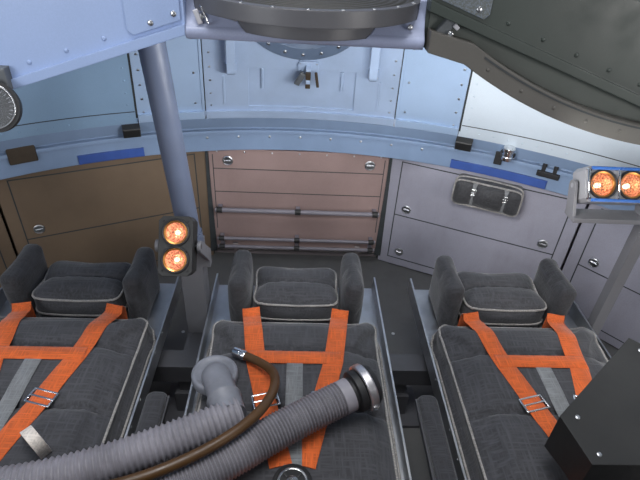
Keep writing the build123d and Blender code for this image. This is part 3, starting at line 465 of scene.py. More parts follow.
class Piece:
    """One mesh piece that is put together from simple swept forms."""

    def __init__(self, name, material, slot, body="cabin", bevel=0.0, sharp=35):
        self.name, self.material, self.slot, self.body = name, material, slot, body
        self.bevel, self.sharp = bevel, sharp
        self.mesh = bmesh.new()

    def grid(self, rows, close_rows=False):
        """Skin over rows of points, each a closed ring: capped at both ends, or a closed hoop."""
        made = [[self.mesh.verts.new(p) for p in row] for row in rows]
        count = len(made)
        for i in range(count if close_rows else count - 1):
            a, b = made[i], made[(i + 1) % count]
            for j in range(len(a)):
                k = (j + 1) % len(a)
                self.mesh.faces.new((a[j], a[k], b[k], b[j]))
        if not close_rows:
            self.mesh.faces.new(reversed(made[0]))
            self.mesh.faces.new(made[-1])
        return self

    def box(self, at, x, y, z, chamfer=0.0):
        """Box from (low, high) pairs in a local frame, with its upper edges chamfered."""
        c = chamfer
        rows = []
        for inset, level in ((0, z[0]), (0, z[1] - c), (c, z[1])):
            rows.append([at @ Vector(p) for p in (
                (x[0] + inset, y[0] + inset, level), (x[1] - inset, y[0] + inset, level),
                (x[1] - inset, y[1] - inset, level), (x[0] + inset, y[1] - inset, level))])
        if c == 0:
            rows.pop()
        return self.grid(rows)

    def lathe(self, at, profile, count=32):
        """Solid turned about the local z axis from (radius, height) pairs, closed at both ends."""
        rows = []
        for r, h in profile:
            rows.append([at @ Vector((max(r, 1e-5) * cos(t), max(r, 1e-5) * sin(t), h))
                         for t in (2 * pi * i / count for i in range(count))])
        return self.grid(rows)

    def ring(self, at, profile, count=48):
        """Hoop turned about the local z axis from a closed (radius, height) outline."""
        rows = [[at @ Vector((r * cos(t), r * sin(t), h)) for r, h in profile]
                for t in (2 * pi * i / count for i in range(count))]
        return self.grid(rows, close_rows=True)

    def tube(self, path, radius, count=12):
        """Round tube along points, with flat ends; radius may be one value for each point."""
        points = [Vector(p) for p in path]
        radii = radius if isinstance(radius, (list, tuple)) else [radius] * len(points)
        rows, x = [], None
        for i, point in enumerate(points):
            ahead = points[min(i + 1, len(points) - 1)] - points[max(i - 1, 0)]
            z = ahead.normalized()
            if x is None:
                x = frame_along(point, z).col[0].to_3d()
            x = (x - z * x.dot(z)).normalized()
            y = z.cross(x)
            rows.append([point + (x * cos(t) + y * sin(t)) * radii[i]
                         for t in (2 * pi * j / count for j in range(count))])
        return self.grid(rows)

    def ribbon(self, path, normals, width, thick):
        """Flat strap along points, lying on the side that its normals point away from."""
        points = [Vector(p) for p in path]
        rows = []
        for i, point in enumerate(points):
            ahead = (points[min(i + 1, len(points) - 1)] - points[max(i - 1, 0)]).normalized()
            up = Vector(normals[i] if isinstance(normals, list) else normals).normalized()
            side = ahead.cross(up).normalized() * width / 2
            lift = up * thick
            edge = side * 0.94
            rows.append([point - side + lift * 0.3, point - edge, point + edge,
                         point + side + lift * 0.3, point + edge + lift, point - edge + lift])
        return self.grid(rows)

    def prism(self, at, outline, low, high):
        """Plate with an outline in a local frame, between two heights."""
        return self.grid([[at @ Vector((x, y, z)) for x, y in outline] for z in (low, high)])

    def slab(self, place, az, z, depth, steps=None):
        """Slab between two azimuths, heights and depths, where a place function has them."""
        steps = steps or max(1, int(abs(az[1] - az[0]) / 1.5))
        corners = ((z[0], depth[0]), (z[1], depth[0]), (z[1], depth[1]), (z[0], depth[1]))
        rows = []
        for i in range(steps + 1):
            a = az[0] + (az[1] - az[0]) * i / steps
            rows.append([place(a, level, at).translation for level, at in corners])
        return self.grid(rows)

    def on_wall(self, az, z, inset, steps=None):
        """Slab that follows the conical wall, with its insets from the inner face."""
        return self.slab(wall_at, az, z, inset, steps)

    def on_ring(self, az, z, radii, steps=None):
        """Slab that follows the upright ring, with its radii."""
        return self.slab(ring_at, az, z, radii, steps)

    def stud(self, at, r, h):
        """Domed fastener head."""
        return self.lathe(at, ((r, -0.0004), (r, h * 0.45), (r * 0.72, h * 0.85), (r * 0.2, h)), 8)

    def done(self, *replaced):
        """Finish the mesh as an object."""
        bmesh.ops.recalc_face_normals(self.mesh, faces=self.mesh.faces)
        data = bpy.data.meshes.new(self.name)
        self.mesh.to_mesh(data)
        self.mesh.free()
        made = link_piece(self.name, data, self.material, self.body, self.sharp)
        if self.bevel:
            bevel = made.modifiers.new("edge", "BEVEL")
            bevel.width, bevel.segments, bevel.limit_method = self.bevel, 2, "ANGLE"
            bevel.angle_limit = radians(40)
        if replaced:
            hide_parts(*replaced)
        return made


def dress(material, *names):
    """Give CAD nodes a material."""
    for name in names:
        node = nodes[name]
        node.data.materials.clear()
        node.data.materials.append(material)
        node.data.polygons.foreach_set("use_smooth", [True] * len(node.data.polygons))
        node.data.set_sharp_from_angle(angle=radians(28))


dress(paints["wall"], "wall_left")
# Lighter paint on the right wall: painted light.
dress(paints["wall_right"], "wall_right")
dress(paints["surround"], "hatch_surround")
dress(paints["bezel"], "window_bezel")
dress(paints["door"], "hatch_door", "hatch_handles")
dress(paints["ring"], "girth_ring", "top_ring")
dress(paints["door"], "hatch_latch")
dress(paints["black"], "corner_blocks", "lap_console")
dress(paints["locker"], "locker_box")
# Left-hand fixed lockers darker: painted shade.
dress(paints["lockers"], "locker_fixed")
dress(paints["locker_door"], "locker_door")
dress(paints["rail"], "door_rails")
dress(paints["strut"], "strut")
dress(paints["wing_left"], "console_wing_left")
# Right-hand cover plates darker: painted shade.
dress(paints["covers"], "cover_plates")
# Dark right wing: painted shade.
dress(paints["wing_right"], "console_wing_right")
dress(paints["beam"], "console_beam")
# Dark drum: painted shade.
dress(paints["drum"], "console_drum")
dress(paints["cowl"], "console_cowl")
dress(paints["panel"], "console_face", "outlet_box")
dress(paints["deck"], "deck")
dress(paints["rack"], "couch_rack", "armrests")
dress(paints["post"], "lamp_post_left", "lamp_post_right")
dress(paints["skin"], "lower_skin")
dress(paints["strip"], "ring_strips")
dress(chrome, "ring_latch", "connector_b", "cable_plug")
dress(cuff_rubber, "connector_a")
dress(alloy, "back_pans", "seat_pan_left", "seat_pan_centre", "seat_pan_right", "leg_pan_left",
      "leg_pan_centre", "leg_pan_right")
dress(paints["black"], "lamps_left")
dress(paints["lamp_white"], "lamps_right")


def glass(name, low, high, clear):
    """Glass with a faint uneven tint and smears."""
    s = Shader(name)
    tint = s.mix(s.ramp(s.noise(8, 3), 0, 1), low, high)
    smear = s.ramp(s.noise(14, 5, 0.6, (1, 0.4, 1)), 0.03, 0.14)
    return s.finish(Base_Color=tint, Roughness=smear, Transmission_Weight=clear, IOR=1.45)


gauge_glass = glass("gauge_glass", (0.82, 0.86, 0.90, 1), (0.90, 0.92, 0.95, 1), 0.95)
dress(glass("window_glass", (0.10, 0.12, 0.15, 1), (0.16, 0.19, 0.22, 1), 0.35), "window_glass")


# Hoses and cable, on the routes of their solids
HOSE_D = 0.072
RIDGE_A, RIDGE_B = 0.0108, 0.0070
CABLE_D = 0.020
START_X = -0.881
HOSE_Z = 0.450
CABLE_Z = 0.499
hose_a_route = ((START_X, 0.332, HOSE_Z), (-0.690, 0.332, HOSE_Z), (-0.505, 0.348, HOSE_Z),
                (-0.325, 0.400, HOSE_Z), (-0.160, 0.484, HOSE_Z))
hose_b_route = ((START_X, 0.250, HOSE_Z), (-0.700, 0.250, HOSE_Z), (-0.515, 0.262, HOSE_Z),
                (-0.330, 0.300, HOSE_Z), (-0.150, 0.386, HOSE_Z), (-0.015, 0.484, HOSE_Z),
                (0.115, 0.548, 0.466))
cable_route = ((START_X, 0.291, CABLE_Z), (-0.725, 0.291, CABLE_Z), (-0.560, 0.296, CABLE_Z),
               (-0.400, 0.309, CABLE_Z), (-0.270, 0.336, CABLE_Z), (-0.155, 0.394, CABLE_Z),
               (-0.070, 0.466, CABLE_Z), (-0.036, 0.562, 0.470), (-0.052, 0.650, 0.430),
               (-0.116, 0.688, 0.421))


def spline_curve(name, route):
    """Curve object with one smooth spline whose control points are the route's points."""
    data = bpy.data.curves.new(name, "CURVE")
    data.dimensions = "3D"
    data.resolution_u = 24
    spline = data.splines.new("NURBS")
    spline.points.add(len(route) - 1)
    for point, place in zip(spline.points, route):
        point.co = (*place, 1)
    spline.order_u = 3
    spline.use_endpoint_u = True
    return in_scene(name, data)


def line_of(route, step):
    """Points along a route's spline, a step apart."""
    curve = spline_curve("route_line", route)
    bpy.context.view_layer.update()
    mesh = bpy.data.meshes.new_from_object(curve)
    points = [v.co.copy() for v in mesh.vertices]
    bpy.data.objects.remove(curve)
    bpy.data.meshes.remove(mesh)
    line, left = [points[0]], step
    for a, b in zip(points, points[1:]):
        run = (b - a).length
        done = 0.0
        while run - done >= left:
            done += left
            line.append(a.lerp(b, done / run))
            left = step
        left -= run - done
    if (line[-1] - points[-1]).length > step * 0.3:
        line.append(points[-1])
    else:
        line[-1] = points[-1]
    return line, sum((b - a).length for a, b in zip(points, points[1:]))


def ridged(travelled, ridge):
    """Radius of a ribbed hose at a distance along it: narrow ridges, wide grooves."""
    wave = 0.5 + 0.5 * cos(2 * pi * travelled / ridge)
    return HOSE_D / 2 - 0.0046 * (1 - wave ** 1.4)


def corrugated(name, route, node, ridge, cuff):
    """Ribbed hose with smooth cuffs, in place of the named piece."""
    line, length = line_of(route, ridge / 6)
    radii, travelled = [], 0.0
    for i, point in enumerate(line):
        if i:
            travelled += (point - line[i - 1]).length
        smooth = travelled < cuff[0] or travelled > length - cuff[1]
        radii.append(HOSE_D / 2 - 0.0008 if smooth else ridged(travelled, ridge))
    made = Piece(name, hose_rubber, "hose_grey", sharp=60).tube(line, radii, 28).done(node)


def cable():
    """Brown cable in the groove between the hoses, then in a loop on the pad."""
    made = spline_curve("comm_cable", cable_route)
    made.data.bevel_depth = CABLE_D / 2
    made.data.bevel_resolution = 5
    made.data.use_fill_caps = True
    made.data.materials.append(cable_rubber)
    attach(made, "cabin")
    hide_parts("cable")
    length = line_of(cable_route, 0.01)[1]


def direction_of(route):
    """End point and direction of a route's last run."""
    end, before = Vector(route[-1]), Vector(route[-2])
    return end, (end - before).normalized()


def hose_branch():
    """Ribbed sleeve at the end of one hose, and a smooth branch that bends down to a flange."""
    end, ahead = direction_of(hose_a_route)
    branch = Piece("hose_branch", cuff_rubber, "hose_grey", sharp=50)
    steps = [i * 0.00175 for i in range(34)]
    length = line_of(hose_a_route, 0.01)[1]
    sleeve = Piece("branch_sleeve", hose_rubber, "hose_grey", sharp=60)
    sleeve.tube([end + ahead * d for d in steps], [ridged(length + d, RIDGE_A) for d in steps], 28)
    sleeve.done()
    elbow = Vector((-0.177, 0.628, HOSE_Z - 0.012))
    root = end + ahead * 0.037
    run = (elbow - root).normalized()
    wide, bead, slim = HOSE_D / 2 - 0.0022, HOSE_D / 2, HOSE_D / 2 - 0.0044
    bend = slim + 0.0016
    line = [root] + [root + run * d for d in (0.044, 0.046, 0.052, 0.054)]
    line += [elbow - run * bend * (1 - sin(t)) - Vector((0, 0, bend * (1 - cos(t))))
             for t in span(0, pi / 2, 0.16)]
    line.append(Vector((elbow.x, elbow.y, PAD_TOP)))
    branch.tube(line, [wide, wide, bead, bead] + [slim] * (len(line) - 4), 36)
    floor = level_at(elbow.x - 0.002, elbow.y + 0.006, PAD_TOP)
    flange = ((0.046, 0.004), (0.051, 0.0055), (0.051, 0.0225), (0.048, 0.026), (0.042, 0.0265),
              (0.039, 0.0235), (0.030, 0.0235))
    branch.lathe(floor, flange, 56)
    branch.done("connector_a")


def hose_collar():
    """Black collar with a satin locking ring and its tab at the end of the other hose."""
    at = frame_along(*direction_of(hose_b_route))
    collar = ((0.0335, 0.0), (0.0335, 0.007), (0.043, 0.009), (0.044, 0.013), (0.044, 0.022),
              (0.039, 0.026), (0.039, 0.044), (0.046, 0.0445), (0.040, 0.055), (0.02, 0.056))
    Piece("collar_body", black_rubber, "chrome", sharp=30).lathe(at, collar, 48).done("connector_b")
    hoop = ((0.041, 0.025), (0.047, 0.0245), (0.0498, 0.027), (0.0498, 0.040), (0.047, 0.0435),
            (0.041, 0.0435))
    Piece("locking_ring", satin, "chrome", bevel=0.0008).ring(at, hoop, 64).done()
    tab = Piece("locking_tab", chrome, "chrome", bevel=0.0008, sharp=50)
    tab.box(spun(at, 196), (0.0490, 0.0512), (-0.011, 0.011), (0.0275, 0.0400))
    tab.done()


def outlet_ends():
    """Clamps round the hoses and a boot round the cable where they leave the box."""
    clamps = Piece("hose_clamps", steel, "chrome", bevel=0.0006)
    r = HOSE_D / 2
    for route in (hose_a_route, hose_b_route):
        at = frame_along(route[0], (1, 0, 0))
        clamps.ring(at, ((r, 0.012), (r + 0.0018, 0.012), (r + 0.0018, 0.026), (r, 0.026)), 48)
        clamps.box(shifted(at, 0, r), (-0.009, 0.009), (-0.001, 0.007), (0.010, 0.028), 0.002)
    clamps.done()
    r = CABLE_D / 2
    profile = [(r + 0.0045, 0.0), (r + 0.0045, 0.006)]
    for i in range(5):
        z = 0.009 + i * 0.008
        thick = 0.004 * (1 - i / 5)
        profile += [(r + thick, z), (r + thick, z + 0.004), (r + thick - 0.0012, z + 0.0045),
                    (r + thick - 0.0012, z + 0.0075)]
    boot = Piece("cable_boot", black_rubber, "cable_brown", sharp=60)
    boot.lathe(frame_along(cable_route[0], (1, 0, 0)), profile + [(r, 0.052)], 24)
    boot.done()


def cable_plug():
    """Chrome shell of the plug at the cable's end."""
    shell = ((0.0108, -0.002), (0.012, 0.001), (0.012, 0.010), (0.0105, 0.011), (0.0105, 0.014),
             (0.0118, 0.0145), (0.0118, 0.031), (0.0098, 0.0335), (0.0098, 0.034))
    plug = Piece("cable_plug_shell", chrome, "chrome", sharp=30)
    plug.lathe(frame_along(*direction_of(cable_route)), shell, 28).done("cable_plug")


hose_branch()
hose_collar()
outlet_ends()
cable_plug()
corrugated("oxygen_hose_a", hose_a_route, "hose_a", RIDGE_A, (0.09, 0.0))
corrugated("oxygen_hose_b", hose_b_route, "hose_b", RIDGE_B, (0.09, 0.024))
cable()


# Rivets, screws and seams

def studs(name, places, r, h, material, slot, body="cabin"):
    """Row of fastener heads."""
    piece = Piece(name, material, slot, body, sharp=50)
    for at in places:
        piece.stud(at, r, h)
    return piece.done()


def cabin_fasteners():
    """Rivets on the walls, the surround, the ring and the outer skin."""
    places = []
    for side in (-1, 1):
        for az in (21.0, 53.0, 84.9):
            places += [wall_at(side * az, z) for z in span(0.71, 1.48, 0.042)]
        for z in (0.70, 1.486):
            places += [wall_at(side * az, z) for az in span(22.6, 83.3, 1.7)]
    studs("wall_rivets", places, 0.0034, 0.0016, paints["rivets"], "wall_blue")
    places = []
    for side in (-1, 1):
        places += [wall_at(side * 19.3, z) for z in span(0.72, 1.48, 0.05)]
        places += [wall_at(side * 13.1, z) for z in span(0.745, 1.30, 0.11)]
    places += [wall_at(az, z) for z in (1.372, 1.484) for az in span(-18, 18, 2.4)]
    studs("surround_screws", places, 0.0042, 0.0018, steel, "wall_blue")
    places = []
    for side in (-1, 1):
        for az in (22, 42, 64, 85.25):
            places += [from_outside(wall_at(side * az, z, -FRAME_OUT)) for z in span(0.72, 1.46, 0.06)]
        for z, out in ((1.092, FRAME_OUT), (0.71, SKIN_OUT), (1.47, SKIN_OUT)):
            places += [from_outside(wall_at(side * az, z, -out)) for az in span(23.5, 84, 2.4)]
    studs("outer_rivets", places, 0.0045, 0.002, paints["wall"], "wall_blue")
    places = [from_outside(ring_at(az, z, SKIN_R)) for z in (0.085, 0.30, 0.53)
              for az in span(-84, 84, 3.0)]
    studs("skin_rivets", places, 0.005, 0.002, paints["skin"], "skin_grey")
    places = [ring_at(az, 0.6, RING_R) for az in span(-84, 84, 4.0)
              if not 18 < abs(az) < 33]
    studs("ring_screws", places, 0.0045, 0.002, steel, "ring_blue")
    places = [level_at(TOP_RING_R * sin(radians(az)), TOP_RING_R * cos(radians(az)), 1.545)
              for az in span(-83, 83, 4.15)]
    studs("top_ring_bolts", places, 0.008, 0.005, steel, "ring_blue")
    places = [level_at(x, y, 0.060) for r in (0.62, 1.18)
              for x, y in ((r * sin(a), r * cos(a)) for a in span(0, 2 * pi - 0.13, 0.131 * 0.9 / r))]
    studs("deck_screws", places, 0.006, 0.002, steel, "deck_grey")


def wall_seams():
    """Sealed joints between the wall panels."""
    seams = Piece("wall_seams", seam_dark, "wall_blue")
    for side in (-1, 1):
        for az, wide in ((20.02, 0.22), (52.4, 0.12)):
            seams.on_wall(sorted((side * az, side * (az + wide))), WALL_SPAN, (-0.0015, 0.0008), 1)
        seams.on_wall(sorted((side * 20.3, side * 85.5)), (0.7235, 0.7265), (-0.001, 0.0006))
    seams.done()


def hatch_gap():
    """Bead of sealant and raised strip round the hatch pocket."""
    seal = Piece("hatch_gap_seal", seam_dark, "wall_blue")
    strip = Piece("hatch_gap_strip", paints["surround"], "wall_blue")
    for side in (-1, 1):
        seal.on_wall(sorted((side * 11.92, side * 12.03)), POCKET_SPAN, (0.0008, 0.0020), 1)
        strip.on_wall(sorted((side * 12.03, side * 12.2)), POCKET_SPAN, (0.0008, 0.0026), 1)
        strip.on_wall(sorted((side * 12.2, side * 12.36)), POCKET_SPAN, (-0.001, 0.0026), 1)
    strip.on_wall((-12.36, 12.36), (1.3480, POCKET_SPAN[1]), (-0.001, 0.0026))
    strip.on_wall((-12.2, 12.2), (1.3330, 1.3480), (0.0008, 0.0026))
    seal.on_wall((-12.03, 12.03), (1.3300, 1.3330), (0.0008, 0.0020))
    seal.done()
    strip.done()


def hatch_fittings():
    """Ribs, screws, window bolts and window gasket on the hatch, and its handles' screws."""
    ribs = Piece("door_ribs", paints["door"], "wall_blue", "hatch", bevel=0.0008)
    for low, high, azimuths in ((0.74, 0.845, (-9.6, 9.6)), (0.80, 0.87, (-4.9, 4.9))):
        for az in azimuths:
            ribs.on_wall((az - 0.14, az + 0.14), (low, high), (-0.001, 0.0022), 1)
    ribs.done()
    screws = [wall_at(az, z) for az in (-11.2, 11.2) for z in span(0.735, 1.30, 0.047)]
    screws += [wall_at(az, 1.31) for az in span(-10, 10, 1.43)]
    studs("door_screws", screws, 0.0036, 0.0016, steel, "wall_blue", "hatch")
    bezel = wall_at(0, WINDOW_Z, 0.0138)
    bolts = [shifted(spun(bezel, 18 * i), 0.171) for i in range(20)]
    studs("window_bolts", bolts, 0.0055, 0.0032, steel, "bezel_blue", "hatch")
    lip = ((0.1345, -0.0035), (0.1405, -0.0035), (0.1425, 0.0005), (0.139, 0.003), (0.1345, 0.0015))
    gasket = Piece("window_gasket", black_rubber, "window", "hatch", sharp=60)
    gasket.ring(wall_at(0, WINDOW_Z), lip, 64).done()
    feet = [shifted(wall_at(side * HANDLE_AZ, HANDLE_Z, 0.0044), x, end * 0.08 + y)
            for side in (-1, 1) for end in (-1, 1) for x, y in corners(0.0125, 0.0125)]
    studs("handle_screws", feet, 0.0028, 0.0014, steel, "bezel_blue", "hatch")


def hatch_latch():
    """Hook, prong and screws of the latch under the window."""
    hook = Piece("latch_hook", pad_rubber, "dark_metal", "hatch", bevel=0.0012)
    pivot = wall_at(*LATCH, 0.0400)
    for x, wide, turn, long in ((0.0, 0.0078, 0, 0.038), (0.026, 0.0042, 8, 0.032)):
        arm = spun(shifted(pivot, x), turn)
        hook.box(arm, (-wide, wide), (-long, 0.020), (-0.006, 0.005), 0.0015)
    hook.done()
    prong = Piece("latch_prong", paints["panel"], "dark_metal", "hatch", bevel=0.0012)
    arm = spun(shifted(pivot, -0.022), -26)
    prong.box(arm, (-0.0085, 0.0085), (-0.030, 0.018), (-0.008, 0.003), 0.0015)
    prong.done()
    plate = [shifted(wall_at(*LATCH, 0.0074), x, y) for x, y in corners(0.025, 0.027)]
    studs("latch_screws", plate, 0.0032, 0.0016, steel, "dark_metal", "hatch")


def ring_fittings():
    """Pad, clip and latch knob on the ring beside the hatch, and a black block left of the knob: a
    painted shadow of the knob.
    """
    pad = Piece("ring_pad", pad_rubber, "strip_blue", bevel=0.003)
    pad.on_ring((-34.5, -31.6), (0.592, 0.668), (RING_R + 0.001, RING_R - 0.012), 3).done()
    clip = Piece("ring_clip", black_rubber, "strip_blue", bevel=0.002)
    clip.on_ring((30.2, 32.8), (0.596, 0.614), (RING_R + 0.001, RING_R - 0.014), 3)
    for az in (30.6, 31.9):
        clip.on_ring((az, az + 0.5), (0.610, 0.644), (RING_R + 0.001, RING_R - 0.010), 1)
    clip.done()
    low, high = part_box("ring_latch")
    middle = (low + high) / 2
    a = radians(26.4)
    inward = Vector((-sin(a), -cos(a), 0))
    knob = Piece("latch_barrel", chrome, "chrome", bevel=0.0008, sharp=25)
    foot = middle + inward * 0.020 + Vector((0, 0, -0.020))
    barrel = ((0.012, 0.0), (0.017, 0.003), (0.017, 0.014), (0.0145, 0.016), (0.0145, 0.030),
              (0.019, 0.032), (0.019, 0.043), (0.012, 0.048), (0.001, 0.048))
    knob.lathe(level_at(*foot), barrel, 24).done()
    # Black block left of the knob: painted shadow of the knob.
    knob_shadow = Piece("latch_knob_shadow", black_rubber, "strip_blue", bevel=0.002)
    knob_shadow.on_ring((25.0, 25.95), (0.604, 0.648), (RING_R + 0.001, RING_R - 0.022), 2).done()


cabin_fasteners()
wall_seams()
hatch_gap()
hatch_fittings()
hatch_latch()
ring_fittings()


# Lockers

def locker_seams():
    """Door seams, corner gaps and quarter-turn latches of the fixed lockers; the dark tapered strip
    behind each corner gap is painted shade.
    """
    seams = Piece("locker_seams", seam_dark, "locker_beige")
    latches = Piece("locker_latches", steel, "locker_beige", sharp=30)
    cup = ((0.017, -0.001), (0.017, 0.003), (0.014, 0.0045), (0.0135, 0.004), (0.001, 0.004))
    for step in (-3, -2, -1, 1, 2, 3):
        at = locker_at(step)
        for x in (-0.296, 0.292):
            seams.box(at, (x, x + 0.004), (0.102, 0.524), (-0.001, 0.0006))
        for z in (0.098, 0.300, 0.524):
            seams.box(at, (-0.296, 0.296), (z, z + 0.004), (-0.001, 0.0006))
        for x in (-0.25, 0.25):
            for z in (0.335, 0.135):
                turn = shifted(at, x, z)
                latches.lathe(turn, cup, 24)
                latches.box(turn, (-0.011, 0.011), (-0.0022, 0.0022), (0.003, 0.0075), 0.001)
    # Dark strip behind each corner gap, wider towards the bottom: painted shade in the gap.
    gap_shade = ((-0.013, 0.09), (0.013, 0.09), (0.004, 0.545), (-0.004, 0.545))
    for side in (-1, 1):
        seams.prism(ring_at(side * LOCKER_PITCH / 2, 0, 1.5895), gap_shade, -0.004, 0.003)
    seams.done()
    latches.done()


def locker_door_details():
    """Latches, screws and seams of the locker's door, and the clamps of its rails."""
    door = locker_at(0)
    latches = Piece("door_latches", steel, "locker_beige", "locker_lid", sharp=30)
    cup = ((0.019, -0.001), (0.019, 0.003), (0.016, 0.005), (0.015, 0.004), (0.001, 0.004))
    for x in (-0.262, 0.262):
        turn = shifted(door, x, 0.497)
        latches.lathe(turn, cup, 24)
        latches.box(turn, (-0.012, 0.012), (-0.0024, 0.0024), (0.003, 0.008), 0.001)
    for x in span(-0.30, 0.30, 0.1):
        latches.stud(shifted(door, x, 0.532), 0.0035, 0.0018)
    latches.done()
    seam = Piece("door_panel_seam", seam_dark, "locker_beige", "locker_lid")
    for x in (-0.318, 0.315):
        seam.box(door, (x, x + 0.003), (0.20, 0.52), (-0.001, 0.0005))
    for z in (0.365, 0.462):
        seam.box(door, (-0.318, 0.318), (z, z + 0.003), (-0.001, 0.0005))
    seam.done()
    clamps = Piece("rail_clamps", paints["black"], "rail_grey", "locker_lid", bevel=0.001)
    for z, r, stand in ((0.305, 0.009, 0.034), (0.171, 0.007, 0.030), (0.132, 0.007, 0.030)):
        sleeve = ((r + 0.0003, 0.0), (r + 0.003, 0.001), (r + 0.003, 0.021), (r + 0.0003, 0.022))
        for x in (-0.299, 0.0, 0.299):
            clamps.lathe(frame_along((x - 0.011, LOCKER_FACE - stand, z), (1, 0, 0)), sleeve, 20)
    clamps.done()


locker_seams()
locker_door_details()


# Console

def console_edge(x, side):
    """Height of a wing's lower edge at a distance from the middle."""
    return (1.122 if side < 0 else 1.175) - (x - 0.19) * 0.34


def wing_fasteners():
    """Screws along the wings and the beam and on the cover plates."""
    for side, word in ((-1, "left"), (1, "right")):
        places = [front_at(side * x, console_edge(x, side) + 0.032) for x in span(0.32, 0.70, 0.063)]
        # The right wing's screws take its dark paint: painted shade.
        studs(f"wing_screws_{word}", places, 0.0038, 0.0014, paints[f"wing_{word}"], "console_lilac")
    plates = ((-0.243, 1.137), (-0.206, 1.152), (-0.270, 1.186), (-0.206, 1.208), (0.206, 1.204),
              (0.268, 1.181), (0.276, 1.2), (0.206, 1.229))
    places = [front_at(x, z, 0.717) for x, z in plates]
    studs("plate_screws", places, 0.0046, 0.002, steel, "console_lilac")
    places = [front_at(x, 1.1485, BEAM_Y) for x in (-0.165, -0.112, -0.094, 0.0, 0.094, 0.165)]
    studs("beam_screws", places, 0.0048, 0.003, steel, "console_lilac")


def recess_shade_sheet():
    """Dark sheet behind the opening between the right wing and the cowl: painted shade in that opening.
    """
    outline = ((0.196, 1.171), (0.196, 1.146), (0.27, 1.130), (0.31, 1.107), (0.36, 1.083),
               (0.412, 1.060), (0.48, 1.037), (0.56, 1.017), (0.64, 1.0025), (0.716, 0.986),
               (0.716, 0.9955))
    dark_sheet = Piece("recess_shade_sheet", paints["recess"], "console_lilac")
    dark_sheet.prism(front_at(0, 0, 0.7352), outline, 0.0, 0.0012).done()


def cowl_z(x):
    """Height of the cowl's curved lower edge."""
    a, b, c = (0.258, 1.100), (0.405, 1.027), (0.640, 0.969)
    return (a[1] * (x - b[0]) * (x - c[0]) / ((a[0] - b[0]) * (a[0] - c[0]))
            + b[1] * (x - a[0]) * (x - c[0]) / ((b[0] - a[0]) * (b[0] - c[0]))
            + c[1] * (x - a[0]) * (x - b[0]) / ((c[0] - a[0]) * (c[0] - b[0])))


def cowl_trim():
    """Gasket and screws along the cowl's lower edge."""
    line = [(x, 0.7058, cowl_z(x) + 0.0305) for x in span(0.29, 0.70, 0.012)]
    gasket = Piece("cowl_gasket", seam_dark, "cowl_brown", sharp=60)
    gasket.ribbon(line, (0, -1, 0), 0.0030, 0.0012).done()
    places = [front_at(x, cowl_z(x) + 0.017, 0.706) for x in span(0.30, 0.69, 0.065)]
    studs("cowl_screws", places, 0.0032, 0.0014, paints["cowl"], "cowl_brown")


def console_clips():
    """Small bracket, tags and wire clips at the ends of the beam."""
    clips = Piece("console_clips", chrome, "console_lilac", bevel=0.0012)
    tag = Piece("console_tags", paints["tag"], "console_lilac", bevel=0.001)
    strip = Piece("console_bracket", paints["panel"], "console_lilac", bevel=0.001)
    at = spun(front_at(0.226, 1.155, 0.735), -38)
    strip.box(at, (-0.009, 0.009), (-0.034, 0.030), (0.0, 0.014), 0.002)
    at = spun(front_at(0.232, 1.146, 0.721), -38)
    for y in (-0.020, 0.006):
        tag.box(at, (-0.005, 0.005), (y, y + 0.007), (0.0, 0.004), 0.001)
        clips.lathe(shifted(at, 0, y + 0.016, 0.0), ((0.005, 0), (0.005, 0.004), (0.0035, 0.006)), 16)
    left = spun(front_at(-0.166, 1.150, BEAM_Y), 20)
    tag.box(left, (-0.008, 0.000), (-0.011, 0.011), (0.0, 0.005), 0.001)
    wire = ((0.006, -0.014, 0.002), (0.009, -0.012, 0.010), (0.009, 0.012, 0.010), (0.006, 0.014, 0.002))
    clips.tube([left @ Vector(p) for p in wire], 0.0018, 10)
    strip.done()
    clips.done()
    tag.done()


def drum_cover():
    """Stepped cover on the drum, and the screws of its rim."""
    # Dark paint on the cover: painted shade.
    cover = Piece("drum_cover", paints["drum_cover"], "drum_grey", sharp=25)
    rings = [(0.184, 0.0)]
    for i in range(11):
        r = 0.184 - i * 0.0125
        rings += [(r, 0.0025), (r - 0.004, 0.0045), (r - 0.0085, 0.0045), (r - 0.0125, 0.0025)]
    rings += [(0.0455, 0.002), (0.042, 0.006), (0.010, 0.0068)]
    cover.lathe(level_at(0, DRUM_Y, 1.1738), rings, 96).done()
    rim = [level_at(0.193 * cos(t), DRUM_Y + 0.193 * sin(t), 1.182)
           for t in span(0, 2 * pi - 0.26, 0.2618)]
    studs("drum_screws", rim, 0.0036, 0.0016, steel, "drum_grey")


